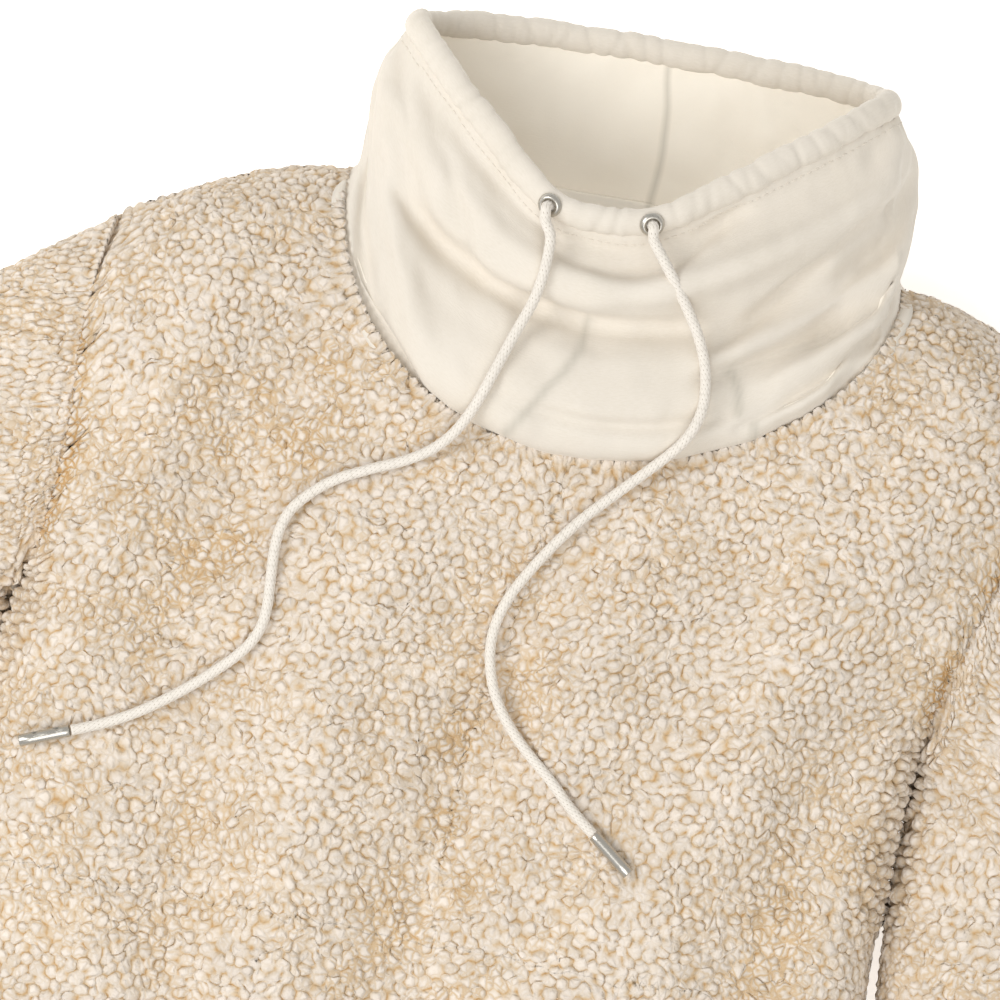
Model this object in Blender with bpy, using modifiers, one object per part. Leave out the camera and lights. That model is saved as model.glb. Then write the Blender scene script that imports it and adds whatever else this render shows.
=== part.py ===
"""Sherpa fleece pullover, lying on its back and lightly filled out.

X runs across the body from the left of the view to its right, Y runs from
the hem to the head, and Z is up from the surface that the back rests on.
Tables are in millimetres; the meshes are in metres.
"""
import math

import bmesh
import bpy
import numpy as np
from mathutils import Vector
from mathutils.bvhtree import BVHTree

# Units and gaps
MM = 0.001
SEAM_GAP = 0.6
TOUCH_GAP = 0.3

# Colours and roughness of the plain materials
FLEECE_COLOUR = (0.78, 0.68, 0.55)
IVORY_COLOUR = (0.83, 0.78, 0.66)
NICKEL_COLOUR = (0.60, 0.58, 0.55)
FLEECE_ROUGH = 0.95
KNIT_ROUGH = 0.9
BRAID_ROUGH = 0.85
NICKEL_ROUGH = 0.3

# Place of the part: the tables have Y = 0 at the neck-shoulder points
SHIFT_X = 36.2
SHIFT_Y = 251.3

# Walls, pile included
FLEECE_WALL = 6.0
COLLAR_WALL = 2.6

# Heights of the filled body
SEAM_Z = 32.0
CHEST_Z = 74.0
HEM_Z = 60.0
SIDE_ROUND = 46.0
SHOULDER_ROUND = 58.0
BACK_ROUND = 34.0

# Neck, shoulders and hem
NECK_HALF = 131.5
NECK_FRONT_DROP = 105.0
NECK_BACK_RISE = 16.0
NECK_SKEW = 10.0
SHOULDER_LEFT_X = -229.0
SHOULDER_RIGHT_X = 222.0
SHOULDER_TIP_Y = -34.0
SHOULDER_NECK_Y = 4.0
SHOULDER_LEAN = 3.0
SHOULDER_POWER = 1.6
SHOULDER_REACH = 1.2
UNDERARM_Y = -202.0
HEM_Y = -598.0
ARMHOLE_TOP_Z = 66.0
ARMHOLE_LOW_Z = 1.5

# Side of the body at each height: y, left x, right x
SIDE_COLUMNS = ("y", "left", "right")
SIDES = (
    (10.0, -229.0, 222.0),
    (-34.0, -229.0, 222.0),
    (-67.0, -231.5, 211.0),
    (-107.0, -229.0, 197.0),
    (-144.0, -228.0, 186.0),
    (-181.0, -233.0, 179.0),
    (-220.0, -242.0, 174.5),
    (-270.0, -247.0, 173.0),
    (-340.0, -248.0, 175.0),
    (-460.0, -249.0, 177.0),
    (-598.0, -247.0, 178.0),
)

# Soft folds of the front: start, middle and end of the fold, half width, height
FOLD_COLUMNS = ("x0", "y0", "x1", "y1", "x2", "y2", "half_width", "height")
FRONT_FOLDS = (
    (164.0, -58.0, 112.0, -160.0, 60.0, -330.0, 28.0, 12.0),
    (60.0, -330.0, 20.0, -430.0, 0.0, -560.0, 34.0, 7.0),
    (36.0, -140.0, 30.0, -190.0, 10.0, -262.0, 22.0, 9.0),
    (-6.0, -176.0, -28.0, -240.0, -36.0, -380.0, 24.0, -12.0),
    (-74.0, -146.0, -96.0, -220.0, -104.0, -390.0, 26.0, 10.0),
    (-104.0, -390.0, -112.0, -470.0, -96.0, -570.0, 32.0, 6.0),
    (-124.0, -56.0, -146.0, -136.0, -172.0, -222.0, 30.0, -12.0),
    (-142.0, -250.0, -142.0, -310.0, -130.0, -420.0, 24.0, -9.0),
    (-164.0, -28.0, -182.0, -80.0, -196.0, -130.0, 20.0, 6.0),
    (-168.0, -330.0, -172.0, -400.0, -186.0, -520.0, 24.0, 8.0),
    (150.0, -36.0, 144.0, -70.0, 120.0, -110.0, 20.0, -6.0),
    (146.0, -190.0, 130.0, -270.0, 108.0, -380.0, 22.0, -8.0),
    (140.0, -400.0, 132.0, -470.0, 128.0, -570.0, 28.0, 6.0),
    (60.0, -400.0, 66.0, -480.0, 58.0, -585.0, 26.0, -6.0),
)
FOLD_END = 0.35
FOLD_FADE = 0.7
FOLD_STEPS = 16

# Distances in from a side or a top edge at which the wall has a line of points
EDGE_STEPS = (0.0, 1.6, 7.0, 16.0, 29.0, 46.0)
NECK_STEPS = 20
FRONT_ROWS = 22
BACK_ROWS = 14
NECK_EDGE_ROWS = 4
ROW_POWER = 1.25

# Top of a sleeve: turn of each ring from the armhole, drop of its inner edge, its size
FAN_COLUMNS = ("angle", "drop", "across", "height")
SLEEVE_FAN = (
    (0.0, 0.0, 168.0, 64.5),
    (8.0, 3.0, 155.0, 66.0),
    (19.0, 7.0, 144.0, 65.0),
    (36.0, 12.0, 145.0, 64.0),
    (60.0, 18.0, 152.0, 63.0),
    (84.0, 26.0, 158.0, 62.0),
)
# Lower sleeve: y, gap to the body's side, width across, height
ARM_COLUMNS = ("y", "gap", "across", "height")
SLEEVE_ARM = (
    (-250.0, 4.5, 158.0, 61.0),
    (-300.0, 4.0, 154.0, 59.0),
    (-350.0, 7.0, 148.0, 57.0),
    (-410.0, 11.0, 140.0, 55.0),
    (-470.0, 15.0, 131.0, 52.0),
    (-530.0, 19.0, 121.0, 49.0),
    (-572.0, 22.0, 112.0, 47.0),
    (-592.0, 23.0, 108.0, 46.0),
)
SLEEVE_POINTS = 28
FAN_SHARE_ANGLE = 36.0
UNDER_ROUND = 0.5
ARM_SEAM_SHARE = 0.5
ARMHOLE_GAP = 0.9
PIVOT_GAP = 3.4

# Collar: a row for each ring from the seam to the rim. The front runs over the folds.
RING_COLUMNS = ("left", "right", "y_side", "z_side", "y_back", "z_back", "y_front", "z_front", "vee")
COLLAR_RINGS = (
    (-128.6, 128.8, 1.0, 34.0, 17.0, 2.0, -104.2, 66.0, 0.00),
    (-127.6, 129.4, 7.0, 37.0, 21.0, 1.6, -101.0, 79.0, 0.02),
    (-125.4, 129.0, 16.0, 40.0, 28.0, 1.2, -92.0, 87.0, 0.06),
    (-124.6, 128.6, 26.0, 42.0, 36.0, 1.0, -77.0, 90.0, 0.12),
    (-124.6, 127.8, 36.0, 44.0, 44.0, 1.0, -60.0, 87.0, 0.20),
    (-124.8, 127.0, 44.0, 45.0, 51.0, 1.2, -46.0, 80.0, 0.30),
    (-124.0, 125.4, 51.0, 46.0, 58.0, 1.6, -37.0, 86.0, 0.40),
    (-122.8, 123.0, 57.0, 47.0, 65.0, 2.2, -26.0, 93.0, 0.52),
    (-121.2, 119.4, 63.0, 48.0, 71.0, 3.0, -16.0, 89.0, 0.66),
    (-118.4, 114.6, 69.0, 49.0, 77.0, 4.0, -9.5, 84.0, 0.80),
    (-115.6, 110.8, 74.0, 49.5, 82.5, 5.4, -4.5, 86.5, 0.90),
)
# How far each of the first rings follows the neck seam
SEAM_FOLLOW = (1.0, 0.86, 0.58, 0.26)
SEAM_RISE = (0.0, 9.0, 17.0, 24.0)
SEAM_FORWARD = (0.0, 2.0, 7.0, 14.0)
SEAM_INSET = (0.0, 2.0, 4.0, 5.0)
SEAM_RING_HALF = 128.8
RIM_LEAN = 3.0
# Folds of the collar: start and end as turn from the left round the front and rise, size
COLLAR_FOLD_COLUMNS = ("turn0", "rise0", "turn1", "rise1", "half_width", "depth")
COLLAR_FOLDS = (
    (0.95, 0.62, 0.66, 0.30, 11.0, -6.0),
    (0.66, 0.30, 0.48, 0.24, 10.0, -3.0),
    (0.90, 0.36, 0.72, 0.12, 10.0, 4.0),
    (0.97, 0.16, 0.70, 0.05, 8.0, -3.5),
    (0.06, 0.30, 0.22, 0.10, 9.0, -4.0),
    (0.12, 0.80, 0.34, 0.34, 12.0, -3.5),
    (0.06, 0.76, 0.24, 0.42, 12.0, 2.5),
    (0.92, 0.88, 0.74, 0.60, 10.0, 3.0),
)
TURN_SPAN = 330.0
RISE_SPAN = 130.0
RING_POINTS = 56
CORNER_POWER = 0.62
RING_SQUARE = 0.92
SEAM_LIFT_SIDE = 2.5
EYELET_CORNERS = (0.29, 0.12)
CORNER_SOFT = 14.0
COLLAR_SUNK = 4.0
COLLAR_LIFT = 1.6
COLLAR_FRONT_GAP = 1.7
COLLAR_BACK_GAP = 1.8

# Casing along the rim
CASING_RISE = 7.4
CASING_HALF_HIGH = 6.2
CASING_HALF_DEEP = 4.4
CASING_SIDES = 8
CASING_STEPS = 64
CASING_TURN_STEP = 0.02

# Eyelets
EYELET_LEFT_X = -35.0
EYELET_RIGHT_X = 9.0
EYELET_OUTER_R = 5.6
EYELET_HOLE_R = 2.9
EYELET_HIGH = 1.9
# Profile of an eyelet: share of the way from its hole to its edge, and share of its height
EYELET_PROFILE_COLUMNS = ("out", "up")
EYELET_PROFILE = (
    (0.0, 0.55),
    (0.185, 1.0),
    (0.48, 1.0),
    (0.85, 0.5),
    (1.0, 0.0),
    (0.0, 0.0),
)
EYELET_STEPS = 24
EYELET_TURNS = (0.1 * math.pi, 0.9 * math.pi)
SEARCH_PASSES = 40
SEAT_REACH = 40.0
MERGE_DISTANCE = 0.01

# Cords: diameter, and the routes in x and y, eyelet first
CORD_DIAMETER = 4.8
CORD_POINT_STEP = 9.0
CORD_FREE_POINTS = 2
CORD_RISE = 2.6
CORD_SAG = 0.15
CORD_CLEAR = 0.8
SETTLE_PASSES = 8
CORD_START = 0.1
CORD_BEND = 2.4
CORD_BEVEL = 3
ROUTE_STEPS = 12
# Where a cord's resting height is tried: shares of its radius, and places round it
DRAPE_SHARES = (0.5, 0.85, 1.1)
DRAPE_PLACES = 8
LOOK_DOWN_Z = 400.0
CORD_ROUTE_LEFT = (
    (-33.5, -8.5), (-33.0, -24.0), (-35.6, -39.9), (-40.2, -53.1), (-45.8, -70.8),
    (-51.8, -88.7), (-58.6, -102.0), (-65.8, -110.4), (-76.5, -118.0), (-92.1, -125.3),
    (-107.3, -133.3), (-118.3, -142.7), (-125.4, -152.7), (-127.8, -164.2), (-127.5, -176.7),
    (-126.6, -188.4), (-126.3, -199.6), (-129.0, -209.2), (-135.3, -218.7), (-149.4, -232.8),
    (-164.7, -245.4), (-177.5, -254.2), (-189.9, -260.7), (-201.7, -265.7),
)
CORD_ROUTE_RIGHT = (
    (13.0, -4.0), (21.3, -14.4), (30.5, -26.6), (38.7, -38.6), (44.1, -50.1), (46.9, -61.4),
    (47.3, -72.9), (44.3, -83.0), (39.0, -91.5), (28.3, -103.7), (15.9, -117.0), (3.9, -130.3),
    (-6.1, -144.0), (-14.4, -157.5), (-21.0, -170.6), (-24.3, -183.1), (-24.6, -194.0),
    (-21.8, -206.2), (-16.5, -217.5), (-7.9, -228.5), (2.1, -237.9), (13.4, -247.0),
    (24.6, -257.6), (36.3, -266.7),
)
TIP_LENGTH = 23.0
TIP_RADIUS = 2.75
TIP_STEEPEST = -0.5
TIP_PLACES = 8


def table(columns, rows):
    """Read a table into one array for each named column."""
    return {name: np.array([row[i] for row in rows]) for i, name in enumerate(columns)}


def smooth_at(xs, ys, x):
    """Interpolate a table column with a smooth curve."""
    order = np.argsort(xs)
    xs = xs[order]
    ys = ys[order]
    slopes = np.gradient(ys, xs)
    x = np.clip(x, xs[0], xs[-1])
    i = np.clip(np.searchsorted(xs, x) - 1, 0, len(xs) - 2)
    h = xs[i + 1] - xs[i]
    t = (x - xs[i]) / h
    return ((1 + 2 * t) * (1 - t) ** 2 * ys[i] + t * (1 - t) ** 2 * h * slopes[i]
            + t * t * (3 - 2 * t) * ys[i + 1] + t * t * (t - 1) * h * slopes[i + 1])


SIDE = table(SIDE_COLUMNS, SIDES)


def side_x(side, y):
    """The x of the body's left or right side at height y."""
    return smooth_at(SIDE["y"], SIDE[side], y)


def quarter_round(distance, radius):
    """Rise of a quarter circle from 0 at the edge to 1 at one radius in."""
    t = np.clip(distance / radius, 0.0, 1.0)
    return np.sqrt(1.0 - (1.0 - t) ** 2)


def neck_point_y(x):
    """Height of the neck-shoulder points, a little more at the left than at the right."""
    return SHOULDER_NECK_Y - SHOULDER_LEAN * np.clip(x / NECK_HALF, -1.0, 1.0)


def shoulder_y(x):
    """The shoulder line from the neck-shoulder points out to the tips."""
    left = np.clip((-NECK_HALF - x) / (-NECK_HALF - SHOULDER_LEFT_X), 0.0, SHOULDER_REACH)
    right = np.clip((x - NECK_HALF) / (SHOULDER_RIGHT_X - NECK_HALF), 0.0, SHOULDER_REACH)
    out = np.maximum(left, right)
    near = neck_point_y(x)
    return near + (SHOULDER_TIP_Y - near) * out ** SHOULDER_POWER


def neck_ellipse(x):
    """1 at the low point of the neck curve and 0 at the neck-shoulder points."""
    t = np.clip(np.abs(x) / NECK_HALF, 0.0, 1.0)
    return np.sqrt(1.0 - t * t)


def neck_front_y(x):
    """The front neck seam, its low point a little left of the middle."""
    lean = 1.0 - NECK_SKEW / NECK_HALF * (x / NECK_HALF)
    near = neck_point_y(x)
    return near - (NECK_FRONT_DROP + near) * neck_ellipse(x) * lean


def neck_back_y(x):
    """The back neck seam."""
    near = neck_point_y(x)
    return near + (NECK_BACK_RISE - near) * neck_ellipse(x)


def armhole_bump(y):
    """1 at the widest of the armhole, 0 at the shoulder tip and the underarm."""
    middle = (SHOULDER_TIP_Y + UNDERARM_Y) / 2.0
    half = (SHOULDER_TIP_Y - UNDERARM_Y) / 2.0
    t = np.clip((y - middle) / half, -1.0, 1.0)
    return np.sqrt(np.maximum(1.0 - t * t, 0.0))


def front_edge_z(y):
    """Height of the front's side edge, lifted round the armhole."""
    return SEAM_Z + (ARMHOLE_TOP_Z - SEAM_Z) * armhole_bump(y)


def back_edge_z(y):
    """Height of the back's side edge, lowered round the armhole."""
    return SEAM_Z + (ARMHOLE_LOW_Z - SEAM_Z) * armhole_bump(y)


def fold_height(x, y):
    """The soft folds of the front, each a ridge or trough along a curve."""
    total = np.zeros_like(x)
    for row in FRONT_FOLDS:
        fold = dict(zip(FOLD_COLUMNS, row))
        nearest = np.full_like(x, np.inf)
        along = np.zeros_like(x)
        for k in range(FOLD_STEPS + 1):
            t = k / FOLD_STEPS
            px = (1 - t) ** 2 * fold["x0"] + 2 * t * (1 - t) * fold["x1"] + t * t * fold["x2"]
            py = (1 - t) ** 2 * fold["y0"] + 2 * t * (1 - t) * fold["y1"] + t * t * fold["y2"]
            d = np.hypot(x - px, y - py)
            along = np.where(d < nearest, t, along)
            nearest = np.minimum(nearest, d)
        fade = FOLD_END + (1.0 - FOLD_END) * np.sin(np.pi * along) ** FOLD_FADE
        total += fold["height"] * fade * np.exp(-(nearest / fold["half_width"]) ** 2)
    return total


def front_z(x, y):
    """Top of the front panel at a place of the plan."""
    left = side_x("left", y)
    right = side_x("right", y)
    down = np.clip((SHOULDER_TIP_Y - y) / (SHOULDER_TIP_Y - HEM_Y), 0.0, 1.0)
    crown = CHEST_Z + (HEM_Z - CHEST_Z) * down
    in_side = np.minimum(x - left, right - x)
    in_top = shoulder_y(x) - y
    across = quarter_round(in_side, SIDE_ROUND)
    over = quarter_round(in_top, SHOULDER_ROUND)
    edge = front_edge_z(y)
    edge = SEAM_Z + (edge - SEAM_Z) * over
    top = SEAM_Z + (crown + fold_height(x, y) - SEAM_Z) * over
    return edge + (top - edge) * across


def back_z(x, y):
    """Underside of the back panel at a place of the plan."""
    left = side_x("left", y)
    right = side_x("right", y)
    in_side = np.minimum(x - left, right - x)
    in_top = shoulder_y(x) - y
    in_neck = neck_back_y(x) - y
    in_edge = np.where(np.abs(x) < NECK_HALF, in_neck + neck_ellipse(x) * BACK_ROUND, in_top)
    over = quarter_round(in_edge, BACK_ROUND)
    across = quarter_round(in_side, BACK_ROUND)
    low = back_edge_z(y) * (1.0 - across) * over + SEAM_Z * (1.0 - over)
    return np.minimum(low, SEAM_Z - SEAM_GAP)


def column_places():
    """X of the columns along the top edge, from the left tip to the right tip."""
    left = [SHOULDER_LEFT_X + step for step in EDGE_STEPS]
    neck = [-NECK_HALF * math.cos(math.pi * k / NECK_STEPS) for k in range(NECK_STEPS + 1)]
    right = [SHOULDER_RIGHT_X - step for step in reversed(EDGE_STEPS)]
    return np.array(left + neck + right)


def row_places(top, rows):
    """Y of one column's points from its top edge down to the hem."""
    edge = [top - step for step in EDGE_STEPS]
    shares = [((k + 1) / rows) ** ROW_POWER for k in range(rows)]
    rest = [edge[-1] + (HEM_Y - edge[-1]) * share for share in shares]
    return np.array(edge + rest)


def panel_points(top_of, height_of, rows):
    """Grid of points of a body panel, columns across and rows down."""
    places = column_places()
    grid = []
    for x0 in places:
        inside = abs(x0) <= NECK_HALF
        top = float(top_of(np.array(x0))) if inside else float(shoulder_y(np.array(x0)))
        left = float(side_x("left", np.array(top)))
        u = (x0 - left) / (float(side_x("right", np.array(top))) - left)
        y = row_places(top, rows)
        x = side_x("left", y) + u * (side_x("right", y) - side_x("left", y))
        grid.append(np.stack([x, y, height_of(x, y)], axis=1))
    return np.array(grid)


def make_material(name, colour, roughness, metallic=0.0):
    """A plain Principled material."""
    material = bpy.data.materials.new(name)
    material.use_nodes = True
    shader = material.node_tree.nodes["Principled BSDF"]
    shader.inputs["Base Color"].default_value = (*colour, 1.0)
    shader.inputs["Roughness"].default_value = roughness
    shader.inputs["Metallic"].default_value = metallic
    return material


def new_object(name, mesh, material, collection):
    """Link a mesh as a named object with its own material."""
    obj = bpy.data.objects.new(name, mesh)
    collection.objects.link(obj)
    mesh.materials.append(material)
    return obj


def placed(points):
    """Table millimetres to the part's own metres."""
    points = np.asarray(points, dtype=float)
    return (points + np.array((SHIFT_X, SHIFT_Y, 0.0))) * MM


def grid_normals(grid, closed):
    """Unit normals of a grid of points, from the lines through each point."""
    if closed:
        along = np.roll(grid, -1, axis=0) - np.roll(grid, 1, axis=0)
    else:
        along = np.gradient(grid, axis=0)
    down = np.gradient(grid, axis=1)
    normals = np.cross(along, down)
    return normals / np.linalg.norm(normals, axis=2, keepdims=True)


def held(normals, axis):
    """Normals with one axis left out, so that an edge keeps to its seam's plane."""
    kept = normals.copy()
    kept[..., axis] = 0.0
    return kept / np.linalg.norm(kept, axis=-1, keepdims=True)


def wall(name, outer, normals, thickness, material, collection, closed=False,
         lowest=-math.inf, highest=math.inf):
    """A cloth wall: its outer points, the same points one thickness in, and its rims."""
    columns, rows = outer.shape[:2]
    inner = outer - normals * thickness
    inner[..., 2] = np.clip(inner[..., 2], lowest, highest)
    verts = placed(np.concatenate([outer.reshape(-1, 3), inner.reshape(-1, 3)]))
    half = columns * rows
    faces = []
    last = columns if closed else columns - 1
    for i in range(last):
        j = (i + 1) % columns
        for k in range(rows - 1):
            quad = (i * rows + k, j * rows + k, j * rows + k + 1, i * rows + k + 1)
            faces.append(quad)
            faces.append(tuple(half + q for q in reversed(quad)))
        for k in (0, rows - 1):
            faces.append((i * rows + k, j * rows + k, half + j * rows + k, half + i * rows + k))
    if not closed:
        for i in (0, columns - 1):
            for k in range(rows - 1):
                low = i * rows + k
                faces.append((low, low + 1, half + low + 1, half + low))
    mesh = bpy.data.meshes.new(name)
    mesh.from_pydata([tuple(v) for v in verts], [], faces)
    face_out(mesh)
    mesh.shade_smooth()
    return new_object(name, mesh, material, collection)


def panel_wall(name, grid, up, material, collection):
    """A body panel: its edges keep to the planes of the seams that they meet at."""
    normals = grid_normals(grid, False)
    normals *= np.sign(normals[..., 2:3] * up + 1.0e-9)
    y = grid[..., 1]
    for column in (0, -1):
        in_armhole = (y[column] < SHOULDER_TIP_Y) & (y[column] > UNDERARM_Y)
        normals[column] = np.where(in_armhole[:, None], held(normals[column], 0), held(normals[column], 2))
    on_shoulder = np.abs(grid[:, 0, 0]) >= NECK_HALF - 0.01
    normals[:, 0] = np.where(on_shoulder[:, None], held(normals[:, 0], 2), normals[:, 0])
    by_neck = ~on_shoulder
    for row in range(NECK_EDGE_ROWS):
        normals[by_neck, row] = held(normals[by_neck, row], 0)
    lowest = SEAM_Z if up > 0.0 else -math.inf
    highest = math.inf if up > 0.0 else SEAM_Z - SEAM_GAP
    return wall(name, grid, normals, FLEECE_WALL, material, collection, False, lowest, highest)


def tube_normals(grid):
    """Outward normals of a tube of cloth."""
    normals = grid_normals(grid, True)
    middle = grid.mean(axis=0, keepdims=True)
    facing = np.sum(normals * (grid - middle), axis=2).sum()
    return normals * math.copysign(1.0, facing)


def sleeve_half(side):
    """Sign of a side: -1 at the left, 1 at the right."""
    return -1.0 if side == "left" else 1.0


def sleeve_ring(origin, direction, across, height, seam, share):
    """One ring of a sleeve, from its inner edge out to its outer edge and back."""
    ring = []
    for k in range(SLEEVE_POINTS):
        a = 2.0 * math.pi * k / SLEEVE_POINTS
        reach = across * (1.0 - math.cos(a)) / 2.0
        x = origin[0] + direction[0] * reach
        y = origin[1] + direction[1] * reach
        lift = math.sin(a)
        if lift >= 0.0:
            z = seam + (height - seam) * lift
        else:
            power = 1.0 - UNDER_ROUND * (1.0 - share)
            z = seam - (seam - ARMHOLE_LOW_Z * share) * abs(lift) ** power
        ring.append((x, y, z))
    return ring


def sleeve_points(side):
    """Rings of a sleeve from the armhole to the cuff."""
    sign = sleeve_half(side)
    fan = table(FAN_COLUMNS, SLEEVE_FAN)
    arm = table(ARM_COLUMNS, SLEEVE_ARM)
    rings = []
    for k in range(len(SLEEVE_FAN)):
        angle = math.radians(fan["angle"][k])
        direction = (sign * math.sin(angle), math.cos(angle))
        share = max(0.0, 1.0 - fan["angle"][k] / FAN_SHARE_ANGLE)
        start_y = UNDERARM_Y - fan["drop"][k]
        gap = ARMHOLE_GAP * share + PIVOT_GAP * (1.0 - share)
        pivot_x = float(side_x(side, np.array(start_y))) + sign * gap
        start = (pivot_x, start_y)
        ring = sleeve_ring(start, direction, fan["across"][k], fan["height"][k], SEAM_Z, share)
        follow = []
        for x, y, z in ring:
            edge = float(side_x(side, np.array(y))) + sign * ARMHOLE_GAP
            follow.append((x + share * (edge - pivot_x), y, z))
        rings.append(follow)
    for k in range(len(SLEEVE_ARM)):
        y = arm["y"][k]
        inner = float(side_x(side, np.array(y))) + sign * arm["gap"][k]
        height = arm["height"][k]
        rings.append(sleeve_ring((inner, y), (sign, 0.0), arm["across"][k], height,
                                 height * ARM_SEAM_SHARE, 0.0))
    return np.array(rings).transpose(1, 0, 2)


def front_vee(share):
    """Front rim from its corners: straight runs down to a level stretch between the eyelets."""
    corner = EYELET_CORNERS[0] if share < 0.0 else EYELET_CORNERS[1]
    run = (1.0 - abs(share)) / (1.0 - corner)
    low = math.exp(-CORNER_SOFT * run) + math.exp(-CORNER_SOFT)
    return -math.log(low) / CORNER_SOFT


def ring_point(row, a):
    """A point of a collar ring at angle a: 0 left, a quarter at the front, a half right."""
    ring = dict(zip(RING_COLUMNS, row))
    c = math.cos(a)
    s = math.sin(a)
    middle = (ring["left"] + ring["right"]) / 2.0
    half = (ring["right"] - ring["left"]) / 2.0
    share = -math.copysign(abs(c) ** RING_SQUARE, c)
    x = middle + half * share
    rise = math.sqrt(max(0.0, 1.0 - share * share))
    if s >= 0.0:
        lean = 1.0 - NECK_SKEW / NECK_HALF * share * (1.0 - ring["vee"])
        blend = rise * lean + (front_vee(share) - rise * lean) * ring["vee"]
        y = ring["y_side"] + (ring["y_front"] - ring["y_side"]) * blend
        z = ring["z_side"] + (ring["z_front"] - ring["z_side"]) * rise
    else:
        y = ring["y_side"] + (ring["y_back"] - ring["y_side"]) * rise
        z = ring["z_side"] + (ring["z_back"] - ring["z_side"]) * rise ** CORNER_POWER
    return np.array((x, y + RIM_LEAN * share * ring["vee"], z))


def seam_point(row, a):
    """A point of the collar's first ring, just inside the body's neck edge."""
    x = ring_point(row, a)[0]
    at = np.array(x * NECK_HALF / SEAM_RING_HALF)
    if math.sin(a) >= 0.0:
        y = float(neck_front_y(at))
        z = float(front_z(at, np.array(y))) - COLLAR_SUNK
    else:
        y = float(neck_back_y(at))
        z = float(back_z(at, np.array(y))) + COLLAR_LIFT
    share = max(0.0, math.sin(a))
    gap = COLLAR_BACK_GAP + (COLLAR_FRONT_GAP - COLLAR_BACK_GAP) * share
    return np.array((x, y + gap, z))


def collar_fold(turn, rise):
    """How far the collar's wall stands out or in at a place on it."""
    total = 0.0
    for row in COLLAR_FOLDS:
        fold = dict(zip(COLLAR_FOLD_COLUMNS, row))
        start = np.array((fold["turn0"] * TURN_SPAN, fold["rise0"] * RISE_SPAN))
        run = np.array((fold["turn1"] * TURN_SPAN, fold["rise1"] * RISE_SPAN)) - start
        spot = np.array((turn * TURN_SPAN, rise * RISE_SPAN))
        t = min(max(float(np.dot(spot - start, run) / np.dot(run, run)), 0.0), 1.0)
        away = float(np.linalg.norm(spot - start - run * t))
        total += fold["depth"] * math.exp(-(away / fold["half_width"]) ** 2)
    return total


def collar_points():
    """Rings of the collar, from the neck seam to the foot of the casing."""
    grid = []
    for k in range(RING_POINTS):
        a = 2.0 * math.pi * k / RING_POINTS
        seam = seam_point(COLLAR_RINGS[0], a)
        front = max(0.0, math.sin(a))
        column = []
        for n, row in enumerate(COLLAR_RINGS):
            point = ring_point(row, a)
            if n < len(SEAM_FOLLOW):
                inset = SEAM_INSET[n] * math.cos(a)
                lift = SEAM_RISE[n] * front + SEAM_LIFT_SIDE * n * (1.0 - front)
                near = seam + np.array((inset, SEAM_FORWARD[n], lift))
                near[2] = near[2] if front > 0.0 else min(near[2], seam[2])
                point = point + (near - point) * SEAM_FOLLOW[n]
            column.append(point)
        grid.append(column)
    grid = np.array(grid)
    normals = tube_normals(grid)
    for k in range(RING_POINTS // 2 + 1):
        for n in range(2, len(COLLAR_RINGS) - 1):
            rise = n / (len(COLLAR_RINGS) - 1.0)
            grid[k, n] += normals[k, n] * collar_fold(2.0 * k / RING_POINTS, rise)
    return grid


def casing_centre(a):
    """Middle line of the casing: the rim of the collar carried on by its rise."""
    rim = np.array(ring_point(COLLAR_RINGS[-1], a))
    under = np.array(ring_point(COLLAR_RINGS[-2], a))
    along = rim - under
    along = along / np.linalg.norm(along)
    return rim + along * CASING_RISE, along


def casing_frame(a):
    """Centre of the casing, its direction away from the collar and its outward side."""
    centre, along = casing_centre(a)
    before = casing_centre(a - CASING_TURN_STEP)[0]
    after = casing_centre(a + CASING_TURN_STEP)[0]
    run = after - before
    run = run / np.linalg.norm(run)
    outward = np.cross(run, along)
    outward = outward / np.linalg.norm(outward)
    along = np.cross(outward, run)
    return centre - outward * COLLAR_WALL * 0.5, along, outward


def casing_points():
    """Rings round the casing's tube."""
    grid = []
    for k in range(CASING_STEPS):
        a = 2.0 * math.pi * k / CASING_STEPS
        centre, along, outward = casing_frame(a)
        ring = []
        for m in range(CASING_SIDES):
            b = 2.0 * math.pi * (m + 0.5) / CASING_SIDES
            ring.append(centre + along * math.cos(b) * CASING_HALF_HIGH
                        + outward * math.sin(b) * CASING_HALF_DEEP)
        grid.append(ring)
    return np.array(grid)


def make_casing(material, collection):
    """The casing as a closed tube round the rim."""
    grid = casing_points()
    steps, sides = grid.shape[:2]
    verts = placed(grid.reshape(-1, 3))
    faces = []
    for i in range(steps):
        j = (i + 1) % steps
        for m in range(sides):
            n = (m + 1) % sides
            faces.append((i * sides + m, i * sides + n, j * sides + n, j * sides + m))
    mesh = bpy.data.meshes.new("drawcord_casing")
    mesh.from_pydata([tuple(v) for v in verts], [], faces)
    mesh.shade_smooth()
    obj = new_object("drawcord_casing", mesh, material, collection)
    face_out(mesh)
    return obj


def face_out(mesh):
    """Turn a closed mesh's faces outwards."""
    work = bmesh.new()
    work.from_mesh(mesh)
    bmesh.ops.recalc_face_normals(work, faces=work.faces)
    work.to_mesh(mesh)
    work.free()


def surface_tree(objects):
    """Search tree of the finished surfaces, modifiers included."""
    bpy.context.view_layer.update()
    depsgraph = bpy.context.evaluated_depsgraph_get()
    verts = []
    faces = []
    for obj in objects:
        mesh = obj.evaluated_get(depsgraph).to_mesh()
        base = len(verts)
        verts.extend(obj.matrix_world @ v.co for v in mesh.vertices)
        faces.extend([base + i for i in p.vertices] for p in mesh.polygons)
    return BVHTree.FromPolygons(verts, faces)


def top_at(tree, x, y):
    """Highest point of the surfaces at a place of the plan, in millimetres."""
    start = Vector(placed((x, y, LOOK_DOWN_Z)))
    hit = tree.ray_cast(start, Vector((0.0, 0.0, -1.0)))
    return hit[0].z / MM if hit[0] is not None else 0.0


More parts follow.
